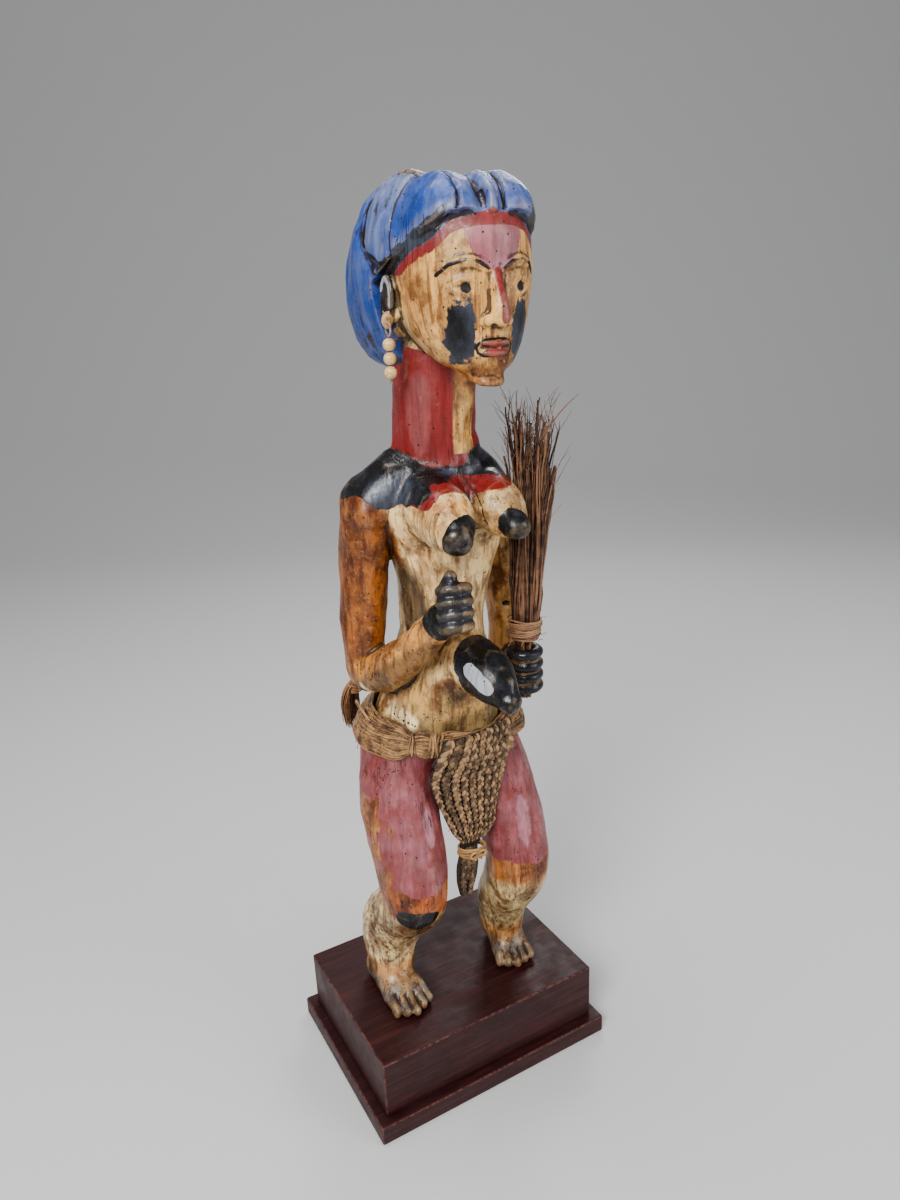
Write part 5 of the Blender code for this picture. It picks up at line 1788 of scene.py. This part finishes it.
def plait(path, width, depth, stitch, tones, rng, thick, deep=0.0):
    """Three strands plaited along a path, as runs. Width and thick may vary along it."""
    path = np.array(path, float)
    lengths = np.concatenate([[0], np.cumsum(np.linalg.norm(np.diff(path, axis=0), axis=1))])
    count = max(12, int(lengths[-1] / (stitch / 3.2)))
    at = np.linspace(0, lengths[-1], count)
    line = np.stack([np.interp(at, lengths, path[:, k]) for k in range(3)], 1)
    wide = np.interp(at, lengths, width)
    fat = np.interp(at, lengths, thick)
    ahead = np.gradient(line, axis=0)
    ahead /= np.linalg.norm(ahead, axis=1)[:, None]
    front = np.array((0.0, -1.0, 0.0))
    across = np.cross(ahead, front)
    across /= np.linalg.norm(across, axis=1)[:, None]
    out = np.cross(across, ahead)
    start = rng.uniform(0, 6.28)
    runs = []
    for k in range(3):
        turn = math.tau * at / (3 * stitch) + math.tau * k / 3 + start
        offset = across * (np.sin(turn) * wide)[:, None] + out * (np.sin(2 * turn) * depth)[:, None]
        tone = float(np.clip(rng.choice(tones) + rng.uniform(-0.2, 0.2), 0, 1))
        runs.append((line + offset, fat, tone, 0.6, deep))
    return runs


class FIBRE_OT_apron(Operator):
    """Hang the plaited apron and gather its lower end"""

    bl_idname = "fibre.apron"
    bl_label = "Hang apron"

    def execute(self, context):
        chosen = settings("fibre_settings")
        tree = carving_tree()
        rng = np.random.default_rng(5)
        columns = chosen.apron_columns
        grid = drape(tree, 2 * columns + 1, 34)
        top = [row for row in grid if height_of(row[0]) > PLAITS_END]
        runs = []
        for i in range(columns):
            path = [row[2 * i + 1] + Vector((0, -0.0034, 0)) for row in top]
            gap = [(row[2 * i + 2] - row[2 * i]).length for row in top]
            widths = [0.26 * g for g in gap]
            thick = [max(0.00075, 0.225 * g) for g in gap]
            runs += plait(path, widths, 0.00105, chosen.stitch, (0.12, 0.45, 0.85), rng, thick)
        tails = [row for row in grid if TAIL_HEIGHTS[0] < height_of(row[0]) < TAIL_HEIGHTS[1]]
        for i, aside in enumerate((0.28, 0.5, 0.74)):
            path = [row[0].lerp(row[-1], aside) + Vector((0, -0.0030, 0)) for row in tails]
            last = 1.0 if i != 1 else 0.8
            path = path[: max(4, int(len(path) * last))]
            widths, thick = ([size] * len(path) for size in (0.0013, 0.00135))
            # The tails also get a little painted shade, through plait's last argument.
            tones = (0.0, 0.12, 0.3)
            runs += plait(path, widths, 0.0009, chosen.stitch, tones, rng, thick, 0.35)
        for _ in range(40):
            row = top[rng.integers(0, len(top))]
            start = row[rng.integers(0, len(row))] + Vector((0, -0.0052, 0))
            side = Vector((rng.uniform(-1, 1), -0.15, rng.uniform(-1, 0.4)))
            run = [start + side * 0.0035 * t for t in np.linspace(0, 1, 4)]
            runs.append((run, 0.00022, rng.uniform(0.5, 1), 1.0, 0.0))
        straw = fibre("plaited_fibre", (0.060, 0.030, 0.014), (0.44, 0.27, 0.135), 0.1)
        plaits = strands("apron", runs, straw, sides=6, wobble=0.0012, scale=160.0, seed=5.0)
        # Behind the plaits goes a near-black sheet: painted shade for the gaps between them.
        join(plaits, shade_sheet_behind_plaits(grid, straw))
        worn_by(plaits, straw, "plant_fibre", "loincloth")
        cord = fibre("knot_fibre", (0.16, 0.075, 0.028), (0.52, 0.30, 0.12), 0.1)
        knot = strands(
            "apron_knot", knot_runs(), cord, sides=6, wobble=0.0012, scale=90.0, seed=2.0
        )
        worn_by(knot, cord, "fibre_cord", "loincloth_tie")
        return {"FINISHED"}


def shade_sheet_behind_plaits(grid, material):
    """A dark sheet behind the plaits: painted shade for the gaps between them."""
    bm = bmesh.new()
    rings = []
    for row in grid:
        front, back = ([p + Vector((0, away, 0)) for p in row] for away in (-0.0022, -0.0006))
        rings.append([bm.verts.new(p) for p in front + back[::-1]])
    bridged(bm, rings, rings[1:])
    bm.faces.new(rings[0])
    bm.faces.new(rings[-1][::-1])
    bmesh.ops.recalc_face_normals(bm, faces=bm.faces)
    obj = mesh_object("shade_sheet", bm)
    obj.data.materials.append(material)
    keep_value(obj.data, "tone", np.zeros(len(obj.data.vertices)))
    # Most of the painted shade, so the sheet reads as the dark gaps between the plaits.
    keep_value(obj.data, "deep", np.full(len(obj.data.vertices), 0.75))
    return obj


def join(target, other):
    """Joins the other mesh into the target."""
    bm = bmesh.new()
    bm.from_mesh(target.data)
    bm.from_mesh(other.data)
    bpy.data.objects.remove(other)
    bm.to_mesh(target.data)
    bm.free()
    target.data.shade_smooth()


def knot_runs():
    """Cord wound round the apron where it is gathered, and the knot's loops in front."""
    centre = (1.5, apron_depth(1.5, 135) - 4.0, 135.0)
    runs = []
    for k in range(5):
        run = []
        for turn in np.linspace(0, math.tau, 33):
            x = centre[0] + (10.6 + 0.35 * math.sin(3 * turn + k)) * math.cos(turn)
            y = centre[1] + (8.2 + 0.3 * math.cos(2 * turn + k)) * math.sin(turn)
            run.append(in_metres((x, y, centre[2] + (k - 2) * 1.25 + 1.2 * math.sin(turn + k))))
        runs.append((run, 0.00085, 0.3 + 0.15 * k, 0.5, 0.0))
    for sway in (-1, 1):
        loop = [
            (0, -8.6, 0), (sway * 3.5, -9.8, 2.2), (sway * 6.5, -9.4, 0.4),
            (sway * 5.0, -9.6, -2.4), (sway * 1.0, -9.6, -1.4), (sway * -3.0, -9.2, -4.5)
        ]
        run = [
            in_metres((centre[0] + a, centre[1] + b, centre[2] + c))
            for a, b, c in smooth_run(loop, 6)
        ]
        runs.append((run, 0.0011, 0.75, 0.4, 0.0))
    return runs


class FIBRE_OT_twigs(Operator):
    """Put the bundle of twigs in the left fist and bind it"""

    bl_idname = "fibre.twigs"
    bl_label = "Bundle twigs"

    def execute(self, context):
        chosen = settings("fibre_settings")
        tree = carving_tree()
        rng = np.random.default_rng(17)
        across = np.array((0.866, -0.5, 0))
        deep = np.array((0.5, 0.866, 0))
        path = [
            (247, *FIST[:2], 5.2, 5.2), (254, *FIST[:2], 5.8, 5.8), (289, *FIST[:2], 5.8, 5.8),
            (297, 53.5, -43, 8.2, 7.0),
            (325, 55, -44, 10.8, 8.0), (360, 56.5, -46, 12.4, 8.4), (395, 57.5, -48, 15.0, 9.2),
            (425, 58, -49, 19.5, 10.8), (446, 58.5, -50, 23.5, 12.5), (462, 59, -51, 26.0, 14.0),
        ]
        shape = smooth_run(path, 3)
        runs = []
        for k in range(chosen.twigs):
            turn, share = rng.uniform(0, math.tau), math.sqrt(rng.uniform(0.02, 1))
            top = rng.uniform(405, 452) if k % 3 else rng.uniform(440, 464)
            low = 247 if k % 2 else rng.uniform(282, 300)
            splay = rng.uniform(0.7, 1.12)
            thickness = rng.choice((0.0006, 0.0008, 0.0011))
            run, radii = [], []
            for height, x, y, width, depth in shape:
                if height < low or height > top:
                    continue
                grow = splay if height > 330 else 1.0
                a = turn + 0.35 * math.sin(height / 60.0 + k)
                p = np.array((x, y, height)) + across * width * share * math.cos(a) * grow
                point = in_metres(p + deep * depth * share * math.sin(a) * grow)
                if height > 300:
                    point = pushed_out(point, tree, 0.0010)
                run.append(point)
                radii.append(max(0.0002, thickness - 0.00056 * max(0.0, (height - 370) / 84.0)))
            if len(run) > 3:
                loose = [
                    0.12 if (h := height_of(p)) < 310 else min(1.6, (h - 300) / 80.0) for p in run
                ]
                # Twigs inside the bundle get painted shade through their last value.
                runs.append((run, radii, rng.uniform(0, 1), loose, max(0.0, 0.62 - share)))
        for _ in range(SPRAYS):
            host = runs[rng.integers(0, chosen.twigs - 4)][0]
            start = Vector(host[-rng.integers(1, 4)])
            aim = across * rng.uniform(-0.55, 0.62) + deep * rng.uniform(-0.4, 0.4)
            aim = aim + np.array((0, 0, rng.uniform(0.5, 1.1)))
            reach = rng.uniform(0.008, 0.024)
            bend = across * rng.uniform(-0.35, 0.35)
            run = [
                start + Vector(aim * reach * t + bend * reach * t * t) for t in np.linspace(0, 1, 5)
            ]
            runs.append((run, np.linspace(0.00024, 0.00010, 5), rng.uniform(0.3, 1), 0.6, 0.0))
        stray = [(59, -56, 436), (61, -70, 450), (62, -83, 461), (63, -92, 467)]
        run = [in_metres(p) for p in smooth_run(stray, 4)]
        runs.append((run, np.linspace(0.0006, 0.00025, 13), 1.0, 0.3, 0.0))
        bark = fibre("twig_bark", (0.034, 0.014, 0.009), (0.30, 0.155, 0.088))
        bundle = strands("twigs", runs, bark, sides=5, wobble=0.0062, scale=34.0, seed=1.0)
        worn_by(bundle, bark, "twigs", "twig_bundle")
        band = []
        for k in range(12):
            height = 293.5 + k * 1.25 + rng.uniform(-0.5, 0.5)
            wide = float(np.interp(height, (293, 297, 312), (9.6, 10.6, 12.4)))
            lean, phase = rng.uniform(-1.6, 1.6), rng.uniform(0, 6.28)
            run = []
            for turn in np.linspace(0, math.tau, 25):
                p = np.array((53.7, -43.2, height + lean * math.sin(turn + phase)))
                p = p + across * (wide + 0.5 * math.sin(3 * turn + k)) * math.cos(turn)
                run.append(in_metres(p + deep * (wide * 0.86) * math.sin(turn)))
            band.append((run, rng.uniform(0.0006, 0.0011), rng.uniform(0.2, 1.0), 0.8, 0.0))
        for _ in range(16):
            turn = rng.uniform(0, 6.28)
            ahead, aside = across * math.cos(turn), deep * math.sin(turn)
            p = np.array((53.7, -43.2, rng.uniform(292, 310))) + 11.4 * ahead + 9.8 * aside
            aim = ahead + aside + np.array((0, 0, rng.uniform(-0.8, 1.0)))
            run = [in_metres(p + aim * 4.2 * t) for t in np.linspace(0, 1, 4)]
            band.append((run, 0.00028, rng.uniform(0.4, 1.0), 1.0, 0.0))
        cord = fibre("binding_fibre", (0.12, 0.05, 0.028), (0.42, 0.24, 0.13), 0.1)
        tie = strands("twig_binding", band, cord, sides=5, wobble=0.0016, scale=110.0, seed=4.0)
        worn_by(tie, cord, "fibre_cord", "bundle_tie")
        return {"FINISHED"}


class EARRING_OT_hang(Operator):
    """Hang the cord and its three beads from the right lobe"""

    bl_idname = "earring.hang"
    bl_label = "Hang earring"

    def execute(self, context):
        chosen = settings("earring_settings")
        material = bone("bone_bead", chosen.bone)
        for i in (1, 2, 3):
            low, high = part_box(f"earring_bead_{i}")
            bead = turned_bead(f"bead_{i}", (low + high) / 2, chosen.bead / 2, BEAD_BORE, i)
            worn_by(bead, material, "bone_bead", f"earring_bead_{i}")
        low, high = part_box("earring_bead_1")
        first = (low + high) / 2
        centre = Vector((first.x, first.y, high.z + 0.0012 + LOOP_RADIUS))
        back = Vector(head_vector((0, 1, 0))).normalized()
        runs = []
        for k in range(3):
            run = []
            for turn in np.linspace(0, math.radians(338), 40):
                twist = 7 * turn + math.tau * k / 3
                radius = LOOP_RADIUS + 0.00034 * math.cos(twist)
                aside = 0.00034 * math.sin(twist)
                offset = back * math.sin(turn) - Vector((0, 0, math.cos(turn)))
                run.append(centre + radius * offset + Vector((aside, 0, 0)))
            runs.append((run, 0.00036, 0.35 + 0.3 * k, 0.1, 0.0))
        bottom = Vector((first.x, first.y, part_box("earring_cord")[0].z))
        top = centre - Vector((0, 0, LOOP_RADIUS))
        runs.append(([top.lerp(bottom, t) for t in np.linspace(0, 1, 9)], 0.00055, 0.5, 0.0, 0.0))
        for k in range(4):
            sway = Vector((math.cos(k * 1.9), math.sin(k * 1.9), 0)) * 0.0011
            start = bottom + Vector((0, 0, 0.0012))
            run = [start + sway * t - Vector((0, 0, 0.0021 * t)) for t in np.linspace(0, 1, 5)]
            runs.append((run, 0.00026, 0.6, 0.4, 0.0))
        cord = fibre("earring_fibre", (0.14, 0.085, 0.05), (0.50, 0.37, 0.24), 0.1)
        thread = strands("earring_thread", runs, cord, sides=6, wobble=0.0002, scale=150.0)
        worn_by(thread, cord, "fibre_cord", "earring_cord")
        return {"FINISHED"}


def turned_bead(name, middle, radius, bore, seed):
    """A hand-made bead, a little uneven, with an eased bore along its axis."""
    height = math.sqrt(radius**2 - bore**2)
    limit = math.asin(height / radius)
    profile = [(bore, -height * 0.86), (bore, 0.0), (bore, height * 0.86)]
    profile += [
        (radius * math.cos(t), radius * math.sin(t))
        for t in np.linspace(limit * 0.97, -limit * 0.97, 18)
    ]
    bm = bmesh.new()
    rings = []
    for k in range(36):
        turn = math.tau * k / 36
        swell = 1 + 0.012 * math.sin(2 * turn + seed) + 0.008 * math.sin(5 * turn + 2 * seed)
        out = Vector((math.cos(turn), math.sin(turn), 0))
        ring = []
        for r, z in profile:
            wide = swell if r > bore * 1.2 else 1
            ring.append(bm.verts.new(middle + out * r * wide + Vector((0, 0, z))))
        rings.append(ring)
    bridged(bm, rings, rings[1:] + rings[:1])
    bmesh.ops.recalc_face_normals(bm, faces=bm.faces)
    obj = mesh_object(name, bm)
    obj.data.shade_smooth()
    obj.data.set_sharp_from_angle(angle=math.radians(50))
    return obj


class BASE_OT_stain(Operator):
    """Give the base's two solids their stain, grain and worn edges"""

    bl_idname = "base.stain"
    bl_label = "Stain base"

    def execute(self, context):
        base = settings("base_settings")
        for node in ("base_block", "base_plate"):
            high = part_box(node)[1]
            material = stained_wood(f"{node}_stain", base, groups(), high.x, high.y, high.z)
            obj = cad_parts[node]
            obj.data.materials.clear()
            obj.data.materials.append(material)
        return {"FINISHED"}


# Each soft light's name, place, size and share of the key light's strength
LIGHTS = (
    ("key", (-1.15, -0.95, 1.35), 0.7, 1.0),
    ("fill", (0.9, -1.25, 0.75), 0.9, 0.30),
    ("rim", (0.9, 1.0, 1.25), 0.6, 0.22),
    ("top", (-0.2, 0.1, 1.7), 0.7, 0.30),
)
# The camera's place, and its right, up and backward ways
CAMERA_PLACE = (-0.27998, -0.53329, 0.58242)
CAMERA_WAYS = (
    (0.866355, -0.497655, -0.042056), (0.190986, 0.252317, 0.948610),
    (-0.461469, -0.829865, 0.313641),
)
LIGHTS_AIM = Vector((0, 0, 0.36))


class STAGE_OT_set(Operator):
    """Set the floor, the soft lights and the camera"""

    bl_idname = "stage.set_up"
    bl_label = "Set stage"

    def execute(self, context):
        stage = settings("stage_settings")
        ahead = Vector((0.486, 0.874, 0.0))
        aside = Vector((0.874, -0.486, 0.0))
        profile = [(-3.0, 0.0), (0.0, 0.0), (1.6, 0.0)]
        profile += [
            (1.6 + 1.6 * math.sin(t), 1.6 * (1 - math.cos(t)))
            for t in np.linspace(0.1, math.pi / 2, 14)
        ]
        profile.append((3.2, 4.5))
        bm = bmesh.new()
        rows = []
        for across in (-4.5, 4.5):
            row = [ahead * reach + aside * across + Vector((0, 0, z)) for reach, z in profile]
            rows.append([bm.verts.new(point) for point in row])
        for i in range(len(profile) - 1):
            bm.faces.new((rows[0][i], rows[1][i], rows[1][i + 1], rows[0][i + 1]))
        bmesh.ops.recalc_face_normals(bm, faces=bm.faces)
        floor = mesh_object("floor", bm)
        floor.data.shade_smooth()
        material, _, shader = new_material("pale_floor")
        shader.inputs["Base Color"].default_value = rgba(stage.floor)
        shader.inputs["Roughness"].default_value = 0.8
        floor.data.materials.append(material)
        world = bpy.data.worlds.new("studio")
        world.use_nodes = True
        sky = world.node_tree.nodes["Background"].inputs
        sky["Color"].default_value = (0.92, 0.95, 1.0, 1.0)
        sky["Strength"].default_value = 0.38
        context.scene.world = world
        context.scene.view_settings.look = "AgX - Medium High Contrast"
        for name, place, size, share in LIGHTS:
            soft_light(name, place, size, stage.light * share)
        data = bpy.data.cameras.new("camera")
        data.lens = 26.1
        data.sensor_width = 36.0
        data.sensor_fit = "AUTO"
        camera = bpy.data.objects.new("camera", data)
        turn = Matrix(CAMERA_WAYS).transposed()
        camera.matrix_world = Matrix.Translation(CAMERA_PLACE) @ turn.to_4x4()
        data.clip_start = 0.02
        data.clip_end = 30.0
        context.scene.collection.objects.link(camera)
        context.scene.camera = camera
        return {"FINISHED"}


def soft_light(name, place, size, power):
    data = bpy.data.lights.new(name, "AREA")
    data.shape = "SQUARE"
    data.size = size
    data.energy = power
    light = bpy.data.objects.new(name, data)
    light.location = place
    light.rotation_euler = (LIGHTS_AIM - Vector(place)).to_track_quat("-Z", "Y").to_euler()
    bpy.context.scene.collection.objects.link(light)


class FIGURE_PT_panel(Panel):
    """The figure's pieces and their sizes"""

    bl_label = "Figure"
    bl_idname = "FIGURE_PT_panel"
    bl_space_type = "VIEW_3D"
    bl_region_type = "UI"
    bl_category = "Figure"

    def draw(self, context):
        for name in SETTINGS:
            box = self.layout.box()
            group = getattr(context.scene, name)
            for key in group.bl_rna.properties.keys():
                if key not in ("rna_type", "name"):
                    box.prop(group, key)
        for operator in OPERATORS:
            self.layout.operator(operator.bl_idname)


SETTINGS = {
    "figure_settings": FigureSettings,
    "base_settings": BaseSettings,
    "fibre_settings": FibreSettings,
    "earring_settings": EarringSettings,
    "stage_settings": StageSettings,
}
OPERATORS = (
    STAGE_OT_set,
    FIGURE_OT_carve,
    BASE_OT_stain,
    FIBRE_OT_belt,
    FIBRE_OT_tuft,
    FIBRE_OT_apron,
    FIBRE_OT_twigs,
    EARRING_OT_hang,
)


def register():
    for name, group in SETTINGS.items():
        bpy.utils.register_class(group)
        setattr(bpy.types.Scene, name, PointerProperty(type=group))
    for item in (*OPERATORS, FIGURE_PT_panel):
        bpy.utils.register_class(item)


def unregister():
    for item in (FIGURE_PT_panel, *reversed(OPERATORS)):
        bpy.utils.unregister_class(item)
    for name, group in SETTINGS.items():
        delattr(bpy.types.Scene, name)
        bpy.utils.unregister_class(group)


def main():
    register()
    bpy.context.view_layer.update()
    bpy.ops.stage.set_up()
    bpy.ops.figure.carve()
    bpy.ops.base.stain()
    bpy.ops.fibre.belt()
    bpy.ops.fibre.tuft()
    bpy.ops.fibre.apron()
    bpy.ops.fibre.twigs()
    bpy.ops.earring.hang()


if __name__ == "__main__":
    main()
